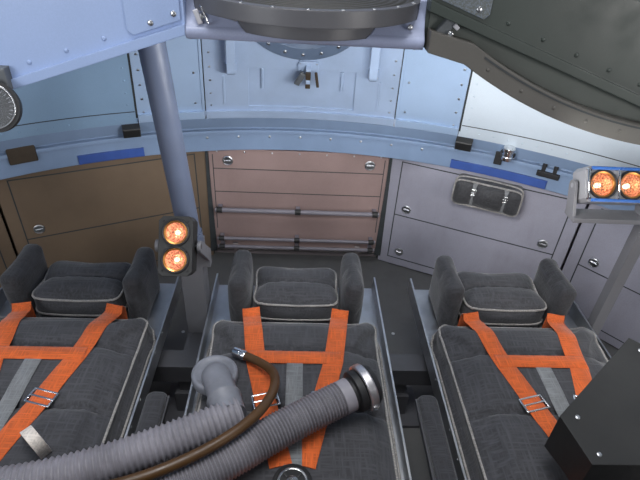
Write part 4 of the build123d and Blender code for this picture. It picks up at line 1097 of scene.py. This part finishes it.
def panel_details():
    """Panel under the console's middle with its dials, guards and toggles."""
    panel = Piece("console_panel", paints["panel"], "panel_grey", bevel=0.0008)
    panel.box(under_at(0, 0.870, 1.115), (-0.178, 0.178), (-0.128, 0.128), (0, 0.004))
    dials = Piece("dial_faces", black_rubber, "panel_grey", sharp=30)
    marks = Piece("dial_marks", white_web, "panel_grey")
    toggles = Piece("panel_toggles", chrome, "panel_grey", sharp=50)
    rim = ((0.038, -0.001), (0.038, 0.0075), (0.040, 0.0082), (0.044, 0.006), (0.044, -0.001))
    for k, x in enumerate((-0.11, 0.0, 0.11)):
        at = under_at(x, 0.88, PANEL_Z)
        panel.ring(at, rim)
        dials.lathe(at, ((0.0378, 0.0), (0.0378, 0.0016), (0.034, 0.0018), (0.0005, 0.0018)), 40)
        for i in range(25):
            inner = 0.027 if i % 4 == 0 else 0.0295
            marks.box(spun(at, -120 + 10 * i), (-0.0004, 0.0004), (inner, 0.033), (0.0016, 0.0022))
        marks.box(spun(at, -50 + 40 * k), (-0.0007, 0.0007), (-0.005, 0.026), (0.002, 0.003))
        toggles.lathe(at, ((0.004, 0.0015), (0.004, 0.004), (0.0015, 0.0046)), 16)
    for column in range(9):
        for y in (0.810, 0.945, 0.975):
            at = under_at((column - 4) * 0.038, y, PANEL_Z)
            panel.box(at, (-0.006, 0.006), (-0.007, 0.007), (0, 0.010), 0.001)
    lever = ((0.0016, 0.0), (0.0018, 0.006), (0.0026, 0.0135), (0.0018, 0.0155))
    for column in range(8):
        at = under_at((column - 3.5) * 0.038, 0.960, PANEL_Z)
        toggles.lathe(at, ((0.0062, 0.0), (0.0062, 0.003), (0.0042, 0.0034), (0.0042, 0.006)), 6)
        toggles.lathe(shifted(spun(at, 16 if column % 3 else -16, "X"), 0, 0, 0.005), lever, 12)
    panel.done("console_face")
    dials.done()
    marks.done()
    toggles.done()


def side_gauge():
    """Round gauge in a chrome bezel, on the left wing's lower lip and turned to the couches."""
    at = frame_along(GAUGE_AT, (0.22, -0.88, 0.38))
    case = ((0.028, -0.028), (0.034, -0.024), (0.036, -0.010), (0.041, -0.006), (0.042, 0.012),
            (0.036, 0.0125), (0.0345, 0.008), (0.001, 0.008))
    Piece("side_gauge", black_rubber, "panel_grey", sharp=30).lathe(at, case, 48).done()
    bracket = Piece("side_gauge_bracket", paints["panel"], "panel_grey", bevel=0.001)
    foot = front_at(GAUGE_AT[0], 1.030)
    bracket.box(foot, (-0.024, 0.024), (-0.006, 0.030), (-0.001, 0.020), 0.002).done()
    rim = ((0.0335, 0.011), (0.0345, 0.0150), (0.0365, 0.0150), (0.0375, 0.0115), (0.0365, 0.010))
    Piece("side_gauge_bezel", chrome, "chrome", sharp=40).ring(at, rim, 64).done()
    disc = ((0.0340, 0.0100), (0.0340, 0.0120), (0.022, 0.0132), (0.001, 0.0138))
    Piece("side_gauge_glass", gauge_glass, "window", sharp=60).lathe(at, disc, 48).done()
    marks = Piece("side_gauge_marks", paints["tag"], "panel_grey")
    for i in range(21):
        marks.box(spun(at, -130 + 13 * i), (-0.0005, 0.0005), (0.026, 0.031), (0.0078, 0.0086))
    marks.box(spun(at, -35), (-0.0009, 0.0009), (-0.006, 0.024), (0.0082, 0.0092))
    marks.done()


wing_fasteners()
recess_shade_sheet()
cowl_trim()
console_clips()
drum_cover()
panel_details()
side_gauge()


# Floodlights

LAMP_NORMAL = Vector((0, -0.82, 0.57)).normalized()
BOWL_DEPTH, BOWL_TAPER = 0.030, radians(28)


def floodlights(side, centre, across, spacing, bowl, size, body, slot):
    """Ribbed reflectors with a bulb, an amber ring and a bezel for each bowl of a lamp."""
    front = matrix_of(centre, across, LAMP_NORMAL.cross(across), LAMP_NORMAL)
    dish = Piece(f"reflectors_{side}", lamp_glow[side], slot, body, sharp=20)
    bulb = Piece(f"bulbs_{side}", lamp_core, slot, body, sharp=60)
    amber = Piece(f"amber_rings_{side}", brass, slot, body, sharp=40)
    bezel = Piece(f"lamp_bezels_{side}", black_rubber, slot, body, bevel=0.0006)
    for x in (-spacing / 2, spacing / 2):
        at = shifted(front, x)
        profile = [(0.003, 0.0008 - BOWL_DEPTH)]
        for i in range(9):
            for step, lift in ((0.0, 0.0005), (0.03, 0.0014), (0.045, 0.0005)):
                r = bowl * (0.45 + 0.06 * i + step)
                profile.append((r, max((r - bowl) / tan(BOWL_TAPER), -BOWL_DEPTH) + lift))
        profile += [(bowl - 0.0012, -0.0035), (bowl - 0.0008, -0.0295), (0.003, -0.0296)]
        dish.ring(at, profile)
        bulb.lathe(at, ((bowl * 0.18, -0.028), (bowl * 0.22, -0.022), (bowl * 0.20, -0.016),
                        (bowl * 0.10, -0.0125), (0.0006, -0.012)), 24)
        amber.ring(at, ((bowl - 0.0035, -0.004), (bowl - 0.0035, 0.0005), (bowl + 0.0005, 0.0022),
                        (bowl + 0.001, -0.001)), 48)
        bezel.ring(at, ((bowl + 0.0006, -0.001), (bowl + 0.0006, 0.004), (bowl + 0.003, 0.0055),
                        (bowl + 0.0055, 0.004), (bowl + 0.006, -0.001)), 48)
    for x, y in corners(size[0] / 2 - 0.012, size[1] / 2 - 0.010):
        bezel.stud(shifted(front, x, y), 0.003, 0.0018)
    for piece in (dish, bulb, amber, bezel):
        piece.done()
    return front


left_across = LAMP_NORMAL.cross(Vector((1, 0, 0)))
floodlights("left", (-0.278, 0.808, 0.644), left_across, 0.062, 0.026, (0.136, 0.076), "lamp_left",
            "lamp_left")
right_front = floodlights("right", (0.772, 0.938, 0.772), Vector((1, 0, 0)), 0.074, 0.031,
                          (0.160, 0.088), "lamp_right", "lamp_right")


def lamp_trim():
    """Blue bars and chrome rods on the right floodlight's front."""
    bars = Piece("lamp_blue_bars", paints["blue_bar"], "lamp_right", "lamp_right", bevel=0.001)
    for y in (-0.0405, 0.0375):
        bars.box(right_front, (-0.066, 0.066), (y - 0.0025, y + 0.0055), (0.0, 0.006), 0.001)
    bars.done()
    rods = Piece("lamp_rods", chrome, "chrome", "lamp_right", sharp=50)
    for x in (-0.076, 0.0, 0.076):
        line = ((x, -0.036, 0.002), (x, -0.034, 0.0085), (x, 0.034, 0.0085), (x, 0.036, 0.002))
        rods.tube([right_front @ Vector(p) for p in line], 0.0026, 12)
    rods.done()


lamp_trim()


# Soft pieces

def applied(obj):
    """Mesh of an object with its modifiers applied."""
    bpy.context.view_layer.update()
    graph = bpy.context.evaluated_depsgraph_get()
    return bpy.data.meshes.new_from_object(obj.evaluated_get(graph))


soft_cache = {}


def soft_form(half_u, half_v, thick, corner, shrink, voxel):
    """Remeshed block with rounded corners, bottom on z = 0."""
    bm = bmesh.new()
    bmesh.ops.create_cube(bm, size=1)
    for v in bm.verts:
        v.co = Vector((v.co.x * 2 * (half_u - shrink * 0.6), v.co.y * 2 * (half_v - shrink * 0.6),
                       (v.co.z + 0.5) * (thick - shrink)))
    upright = [e for e in bm.edges if abs(e.verts[0].co.z - e.verts[1].co.z) > 1e-4]
    bmesh.ops.bevel(bm, geom=upright, offset=corner, segments=5, profile=0.5, affect="EDGES")
    rims = [e for e in bm.edges if min(v.co.z for v in e.verts) > thick - shrink - 1e-4]
    bmesh.ops.bevel(bm, geom=rims, offset=min(thick * 0.22, 0.02), segments=3, profile=0.5,
                    affect="EDGES")
    data = bpy.data.meshes.new("soft_form")
    bm.to_mesh(data)
    bm.free()
    form = in_scene("soft_form", data)
    remesh = form.modifiers.new("voxels", "REMESH")
    remesh.mode, remesh.voxel_size = "VOXEL", voxel
    form.data = applied(form)
    form.modifiers.clear()
    return form


def blown_up(form, start, voxel):
    """Where a form's points are after twenty frames as cloth under pressure, its bottom held."""
    held = form.vertex_groups.new(name="held")
    held.add([i for i, p in enumerate(start) if p.z < voxel * 0.8], 1.0, "REPLACE")
    cloth = form.modifiers.new("cloth", "CLOTH")
    cloth.settings.use_pressure = True
    cloth.settings.uniform_pressure_force = 4
    cloth.settings.effector_weights.gravity = 0
    cloth.settings.vertex_group_mass = "held"
    cloth.point_cache.frame_start, cloth.point_cache.frame_end = 1, 20
    for frame_number in range(1, 21):
        bpy.context.scene.frame_set(frame_number)
    blown = applied(form)
    moved = [v.co.copy() for v in blown.vertices]
    bpy.data.meshes.remove(blown)
    form.modifiers.clear()
    bpy.context.scene.frame_set(1)
    return moved


def seam_dip(p, seams):
    """Depth of the sewn channels at a point of a cushion."""
    dip = 0.0
    for axis, place in seams:
        off = p.x - place if axis == "u" else p.y - place
        along = p.y if axis == "u" else p.x
        pull = 1 + 0.22 * sin(along * 190) + 0.12 * sin(along * 77 + 1.3)
        dip = max(dip, 0.009 * exp(-(off / 0.0065) ** 2) * pull
                  + 0.0075 * exp(-(off / 0.026) ** 2))
    return dip


def swollen_block(size, corner, voxel, cap, seams):
    """Padded block in a local box, bottom on z = 0: remeshed, blown up as cloth, then seamed."""
    key = (tuple(round(v, 4) for v in size), corner, voxel, cap, tuple(seams))
    if key in soft_cache:
        return soft_cache[key].copy()
    half_u, half_v, thick = size[0] / 2, size[1] / 2, size[2]
    form = soft_form(half_u, half_v, thick, corner, cap * 0.55, voxel)
    start = [v.co.copy() for v in form.data.vertices]
    moved = blown_up(form, start, voxel)
    for v, a, b in zip(form.data.vertices, start, moved):
        step = b - a
        if step.length > cap:
            step *= cap / step.length
        v.co = a + step
        v.co.x = max(-half_u, min(half_u, v.co.x))
        v.co.y = max(-half_v, min(half_v, v.co.y))
        v.co.z = max(0.0, v.co.z)
    top = max(v.co.z for v in form.data.vertices)
    for v in form.data.vertices:
        v.co.z *= thick / top
    smooth = form.modifiers.new("smooth", "SUBSURF")
    smooth.levels = 1
    form.data = applied(form)
    form.modifiers.clear()
    for v in form.data.vertices:
        p = v.co
        if p.z >= thick * 0.35:
            dip = seam_dip(p, seams)
            wrinkle = noise.noise(Vector((p.x * 16, p.y * 16, thick * 40))) * 0.0016
            v.co.z += (wrinkle - dip) * min(1.0, p.z / thick)
    data = form.data
    bpy.data.objects.remove(form)
    data.name = "soft_form"
    soft_cache[key] = data
    return data.copy()


def surface_tree(mesh, at):
    """Search tree over a mesh placed by a matrix."""
    points = [at @ v.co for v in mesh.vertices]
    return BVHTree.FromPolygons(points, [list(p.vertices) for p in mesh.polygons])


def piping_cord(piece, tree, at, size, level):
    """Thin cord round a cushion at a share of its height."""
    u, v = size[0] / 2 + 0.01, size[1] / 2 + 0.01
    loop = []
    for i in range(120):
        c, s = cos(2 * pi * i / 120), sin(2 * pi * i / 120)
        p = Vector((abs(c) ** 0.22 * (1 if c > 0 else -1) * u,
                    abs(s) ** 0.22 * (1 if s > 0 else -1) * v, size[2] * level))
        near, normal, _, _ = tree.find_nearest(at @ p)
        loop.append(near + normal * 0.0008)
    rows, count = [], len(loop)
    for i, point in enumerate(loop):
        ahead = (loop[(i + 1) % count] - loop[i - 1]).normalized()
        side = ahead.cross(at.col[2].to_3d()).normalized()
        up = side.cross(ahead)
        rows.append([point + (side * cos(a) + up * sin(a)) * 0.0032
                     for a in (2 * pi * j / 8 for j in range(8))])
    piece.grid(rows, close_rows=True)


def padded_piece(name, node, at, size, corner, cap, seams, body, slot, voxel=0.010, cloth=None,
                 share=(0.30, 0.80)):
    """Cushion in a local box with piped edges; returns the tree of its surface."""
    mesh = swollen_block(size, corner, voxel, cap, seams)
    tree = surface_tree(mesh, at)
    mesh.transform(at)
    made = link_piece(name, mesh, cloth or pad_cloth, body, 70)
    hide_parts(node)
    cords = Piece(f"{name}_piping", piping_cloth, slot, body, sharp=80)
    for level in share:
        piping_cord(cords, tree, at, size, level)
    cords.done()
    return tree


def small_cushion(name, at, size, corner, voxel, cap):
    """Cushion without piping or seams."""
    mesh = swollen_block(size, corner, voxel, cap, ())
    mesh.transform(at)
    made = link_piece(name, mesh, pad_cloth_side, "cabin", 70)
    return made


def node_frame(node, axis):
    """Local frame on a pad's base, and its size, from the node's box and its thin axis."""
    low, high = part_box(node)
    middle = (low + high) / 2
    extent = high - low
    if axis == "z":
        return level_at(middle.x, middle.y, low.z), (extent.x, extent.y, extent.z)
    return (matrix_of((middle.x, low.y, middle.z), (-1, 0, 0), (0, 0, 1), (0, 1, 0)),
            (extent.x, extent.z, extent.y))


def couch_pads(side, x0):
    """Back, seat and head cushions of one couch; returns the tree of the back's surface."""
    place, size = node_frame(f"back_pad_{side}", "z")
    tree = padded_piece(f"back_cushion_{side}", f"back_pad_{side}", place, size, 0.045, 0.022,
                        [("v", -0.155), ("v", 0.03), ("v", 0.205)], "cabin", "pad_grey")
    place, size = node_frame(f"seat_pad_{side}", "y")
    padded_piece(f"seat_cushion_{side}", f"seat_pad_{side}", place, size, 0.035, 0.016,
                 [("v", -0.07), ("v", 0.07)], f"seat_{side}", "pad_grey")
    low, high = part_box(f"headrest_{side}")
    middle_y = (low.y + high.y) / 2
    size = (0.250, high.y - low.y, 0.4095 - low.z)
    padded_piece(f"head_cushion_{side}", f"headrest_{side}", level_at(x0, middle_y, low.z), size,
                 0.03, 0.016, [("v", 0.0)], "cabin", "pad_grey", voxel=0.008)
    size = (0.062, high.y - low.y, high.z - low.z)
    for k, wing in ((-1, "l"), (1, "r")):
        small_cushion(f"head_wing_{side}_{wing}", level_at(x0 + k * 0.159, middle_y, low.z), size,
                      0.02, 0.007, 0.012)
    return tree


pad_trees = {side: couch_pads(side, x0) for side, x0 in COUCH_X.items()}


def arm_pad_pieces():
    """Long cushions on the four armrests."""
    made = [small_cushion(f"arm_cushion_{k + 1}", level_at(x, 0.4275, 0.3863), (0.048, 0.355, 0.0165),
                          0.012, 0.005, 0.006) for k, x in enumerate(ARMREST_X)]
    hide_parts("arm_pads")


arm_pad_pieces()


def bag_piece():
    """Soft stowage bag on the locker beside the door, with piping, a strap and two buckles."""
    width, depth, height = 0.235, 0.082, 0.104
    strap_x = (-0.045, 0.06)
    at = locker_at(1, 0.0225, 0.440)
    at = matrix_of(at.translation + Vector((0, 0, height / 2)), at.col[0].to_3d(), at.col[1].to_3d(),
                   at.col[2].to_3d())
    tree = padded_piece("bag_body", "stowage_bag", shifted(at, 0, 0, 0.0004), (width, height, depth),
                        0.022, 0.014, [("u", x) for x in strap_x], "cabin", "bag_black", 0.006,
                        bag_cloth, (0.42, 0.80))
    out = at.col[2].to_3d()

    def front_of(x, y):
        """Point on the bag's front at a place in its own frame."""
        return tree.ray_cast(at @ Vector((x, y, 2 * depth)), -out)[0] + out * 0.0006

    strap = Piece("bag_strap", grey_web, "bag_black", sharp=60)
    buckle = Piece("bag_buckles", chrome, "chrome", bevel=0.0008)
    for x in strap_x:
        line = [front_of(x, y) for y in span(-0.44 * height, 0.44 * height, 0.004)]
        heights = [p.dot(out) for p in line]
        for i, p in enumerate(line):
            near = heights[max(0, i - 2):i + 3]
            line[i] = p + out * (0.6 * max(near) + 0.4 * sum(near) / len(near) - heights[i])
        strap.ribbon(line, out, 0.020, 0.0016)
        clip = matrix_of(front_of(x, 0.012) + out * 0.0035, at.col[0].to_3d(), at.col[1].to_3d(), out)
        for a in (-1, 1):
            y, bar = a * 0.010, a * 0.0125
            buckle.box(clip, (-0.013, 0.013), (y - 0.0018, y + 0.0018), (0, 0.0035), 0.0008)
            buckle.box(clip, (bar - 0.0016, bar + 0.0016), (-0.010, 0.010), (0, 0.0035), 0.0008)
        buckle.box(clip, (-0.011, 0.011), (-0.0012, 0.0012), (0.001, 0.005), 0.0006)
    strap.done()
    buckle.done()


bag_piece()


# Harness

def strap_on(tree, route, step=0.012, lift=0.0012):
    """Points and normals of a strap that lies on a pad along straight runs seen from above."""
    line, normals = [], []
    for (x0, y0), (x1, y1) in zip(route, route[1:]):
        count = max(2, int(((x1 - x0) ** 2 + (y1 - y0) ** 2) ** 0.5 / step))
        for i in range(count + 1):
            x, y = x0 + (x1 - x0) * i / count, y0 + (y1 - y0) * i / count
            hit, _, _, _ = tree.ray_cast(Vector((x, y, 0.6)), Vector((0, 0, -1)))
            z = hit.z if hit else PAD_TOP - 0.012
            if line and (line[-1] - Vector((x, y, line[-1].z))).length < 1e-5:
                continue
            line.append(Vector((x, y, z)))
            normals.append(Vector((0, 0, 1)))
    heights = [p.z for p in line]
    for i, p in enumerate(line):
        near = heights[max(0, i - 3):i + 4]
        p.z = max(max(near) * 0.5 + sum(near) / len(near) * 0.5, p.z) + lift
    return line, normals


def below(tree, x, y):
    """Point of a pad's surface straight below a place above it."""
    return tree.ray_cast(Vector((x, y, 0.6)), Vector((0, 0, -1)))[0]


def belts(side, x0, k, webs, stitches, metal):
    """Shoulder and lap strap on one side of a couch, with the shoulder strap's adjuster."""
    tree = pad_trees[side]
    route = ((x0 + k * 0.120, 0.882), (x0 + k * 0.092, 0.690), (x0 + k * 0.022, 0.425))
    line, normals = strap_on(tree, route)
    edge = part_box(f"back_pad_{side}")[1].y + 0.001
    over = [Vector((x0 + k * 0.1215, edge, line[0].z + drop)) for drop in (-0.060, -0.030, -0.010)]
    over.append(Vector((x0 + k * 0.1210, edge - 0.005, line[0].z - 0.001)))
    facing = [Vector(p) for p in ((0, 1, 0.05), (0, 1, 0.05), (0, 1, 0.6), (0, 0.5, 1))]
    webs.ribbon(over + line, facing + normals, BELT, WEB_THICK)
    route = ((x0 + k * 0.236, 0.326), (x0 + k * 0.026, 0.386))
    line, normals = strap_on(tree, route, lift=0.0034)
    webs.ribbon(line, normals, BELT, WEB_THICK)
    for i in range(3):
        t = 0.86 + i * 0.05
        p = line[int((len(line) - 1) * (1 - t) + 0.5)]
        at = level_at(p.x, p.y, p.z + 0.0021)
        stitches.box(at, (-0.0007, 0.0007), (-0.018, 0.018), (0, 0.0005))
    x, y = x0 + k * 0.062, 0.578
    adjuster = level_at(x, y, below(tree, x, y).z + 0.004) @ Matrix.Rotation(k * -0.26, 4, "Z")
    for y in (-0.017, 0.0, 0.017):
        metal.box(adjuster, (-0.028, 0.028), (y - 0.0024, y + 0.0024), (0, 0.0042), 0.001)
    for x in (-0.0275, 0.0275):
        metal.box(adjuster, (x - 0.0022, x + 0.0022), (-0.019, 0.019), (0, 0.0042), 0.001)


def round_buckle(x0, tree, black, metal):
    """Black disc with a chrome ring and hub, where a couch's straps meet."""
    at = level_at(x0, BUCKLE_Y, min(below(tree, x0, BUCKLE_Y).z + 0.003, 0.4012))
    disc = ((0.036, 0.0), (0.038, 0.0015), (0.038, 0.005), (0.035, 0.0068), (0.001, 0.0068))
    black.lathe(at, disc, 40)
    metal.ring(at, ((0.024, 0.006), (0.0245, 0.0084), (0.029, 0.0088), (0.0305, 0.0062)), 48)
    metal.lathe(at, ((0.012, 0.006), (0.012, 0.0086), (0.009, 0.0094), (0.001, 0.0094)), 24)
    for i in range(4):
        black.box(spun(at, 45 + 90 * i), (0.012, 0.026), (-0.0028, 0.0028), (0.006, 0.0085), 0.001)


def harness_pieces():
    """Shoulder, lap, chest and centre straps of each couch, with a round buckle and adjusters."""
    webs = Piece("harness_webbing", orange_web, "strap_orange", sharp=60)
    centre = Piece("harness_centre_straps", grey_web, "strap_orange", sharp=60)
    stitches = Piece("harness_stitching", white_web, "strap_orange")
    metal = Piece("harness_fittings", chrome, "chrome", bevel=0.0008)
    black = Piece("harness_buckles", black_rubber, "strap_orange", bevel=0.001)
    for side, x0 in COUCH_X.items():
        tree = pad_trees[side]
        for k in (-1, 1):
            belts(side, x0, k, webs, stitches, metal)
        line, normals = strap_on(tree, ((x0 - 0.110, 0.700), (x0 + 0.110, 0.700)), lift=0.0036)
        webs.ribbon(line, normals, SLIM_BELT, WEB_THICK)
        line, normals = strap_on(tree, ((x0, 0.688), (x0, 0.425)))
        centre.ribbon(line, normals, SLIM_BELT, WEB_THICK)
        round_buckle(x0, tree, black, metal)
    webs.done("harness")
    for piece in (centre, stitches, metal, black):
        piece.done()


harness_pieces()


# Couches and controls

def couch_details():
    """Rivets along the pans, and foot straps."""
    places = []
    for x0 in COUCH_X.values():
        for k in (-1, 1):
            places += [matrix_of((x0 + k * 0.245, y, 0.330), (0, 1, 0), (0, 0, k), (k, 0, 0))
                       for y in span(0.20, 1.06, 0.0717)]
    studs("pan_rivets", places, 0.0036, 0.0016, alloy, "pan_metal")
    for side, x0 in COUCH_X.items():
        loops = Piece(f"foot_strap_{side}", grey_web, "strap_orange", f"leg_{side}", sharp=60)
        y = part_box(f"leg_pan_{side}")[0].y + 0.060
        for x in (-0.095, 0.095):
            points, normals = [], []
            for i in range(17):
                t = pi * i / 16
                points.append(Vector((x0 + x - 0.052 * cos(t), y, 0.7835 + 0.040 * sin(t) ** 0.8)))
                normals.append(Vector((-cos(t), 0, sin(t) + 0.2)))
            loops.ribbon(points, normals, 0.040, WEB_THICK)
        loops.done()


def lap_console_details():
    """Screws on the sloping top of the wedge beside the right couch."""
    slope = atan2(0.060, 0.340)
    places = [spun(level_at(x, y, 0.540 + (y - 0.300) * tan(slope)), degrees(slope), "X") for x, y in
              ((0.700, 0.570), (0.512, 0.428), (0.524, 0.362), (0.772, 0.362), (0.782, 0.510))]
    studs("lap_console_screws", places, 0.0045, 0.002, steel, "dark_metal")


def outlet_details():
    """Screws and a valve knob on the oxygen outlet box."""
    screws = [matrix_of((-0.915, y, z), (0, 1, 0), (0, 0, 1), (1, 0, 0))
              for y in (0.206, 0.404) for z in (0.390, 0.505)]
    studs("outlet_screws", screws, 0.0045, 0.002, steel, "outlet_grey")
    knob = Piece("outlet_knob", black_rubber, "outlet_grey", bevel=0.0008)
    at = level_at(-0.952, 0.305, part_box("outlet_box")[1].z - 0.0002)
    knob.lathe(at, ((0.022, 0.0), (0.022, 0.003), (0.017, 0.004), (0.017, 0.0075), (0.014, 0.009),
                    (0.001, 0.009)), 20)
    knob.done()


def pull_loop():
    """White webbing loop sewn to the left couch's pad by the hoses."""
    loop = Piece("pull_loop", white_web, "strap_orange", sharp=60)
    base, top = Vector((-0.500, 0.470, PAD_TOP - 0.004)), Vector((0.010, -0.020, 0.062))
    points, normals = [], []
    for a in span(-0.25, pi + 0.25, 0.09):
        across = Vector((0.76, -0.65, 0)) * (-0.034 * cos(a))
        points.append(base + across + top * max(0.0, sin(a)) ** 0.75)
        normals.append(Vector((-0.76 * cos(a), 0.65 * cos(a), max(0.15, sin(a)))))
    loop.ribbon(points, normals, 0.022, WEB_THICK).done()


pull_loop()
couch_details()
lap_console_details()
outlet_details()


def floor_plane():
    """Pale floor under the part."""
    s = Shader("studio_floor")
    tone = s.mix(s.ramp(s.noise(0.6, 3), 0, 1), (0.60, 0.60, 0.61, 1), (0.68, 0.68, 0.69, 1))
    data = bpy.data.meshes.new("floor")
    bm = bmesh.new()
    bmesh.ops.create_grid(bm, x_segments=2, y_segments=2, size=9)
    bm.to_mesh(data)
    bm.free()
    data.materials.append(s.finish(Base_Color=tone, Roughness=0.75,
                                   Normal=s.bump(s.noise(60, 3), 0.1, 0.001)))
    floor = in_scene("floor", data)
    floor.location = (0, 0, cad_low[2])


def area(name, place, target, size, power, color):
    """Soft rectangular light that faces a point."""
    data = bpy.data.lights.new(name, "AREA")
    data.shape, data.size, data.size_y = "RECTANGLE", size[0], size[1]
    data.energy, data.color = power, color
    in_scene(name, data).matrix_world = frame_along(place, Vector(place) - Vector(target))


def sky():
    """Even light from all round, and colours shown as they are."""
    world = bpy.data.worlds.new("studio")
    world.use_nodes = True
    back = world.node_tree.nodes["Background"]
    back.inputs["Color"].default_value = (0.72, 0.75, 0.80, 1)
    back.inputs["Strength"].default_value = 0.36
    bpy.context.scene.world = world
    bpy.context.scene.view_settings.view_transform = "Standard"


floor_plane()
for light in (
        ("key", (1.98, -1.1, 1.2), (-0.2, 1.2, 0.85), (0.6, 0.6), 24, (1.0, 0.97, 0.95)),
        ("side", (-1.3, -0.7, 1.35), (-0.3, 1.0, 0.9), (0.9, 0.7), 15, (0.95, 0.97, 1.0)),
        ("overhead", (-0.2, 0.3, 3.4), (0.0, 0.4, 0.4), (1.6, 1.2), 70, (0.97, 0.98, 1.0)),
        ("behind", (0.6, 4.4, 3.0), (0, 0.9, 0.9), (2.6, 2.0), 80, (0.95, 0.97, 1.0)),
        ("under_console", (0.20, 0.76, 0.97), (0.02, 1.35, 0.86), (0.40, 0.10), 4.5, (0.97, 0.98, 1.0)),
        ("right_wall", (0.42, 0.74, 0.86), (1.1, 1.05, 0.90), (0.30, 0.16), 2.6, (1.0, 0.99, 0.97))):
    area(*light)
sky()
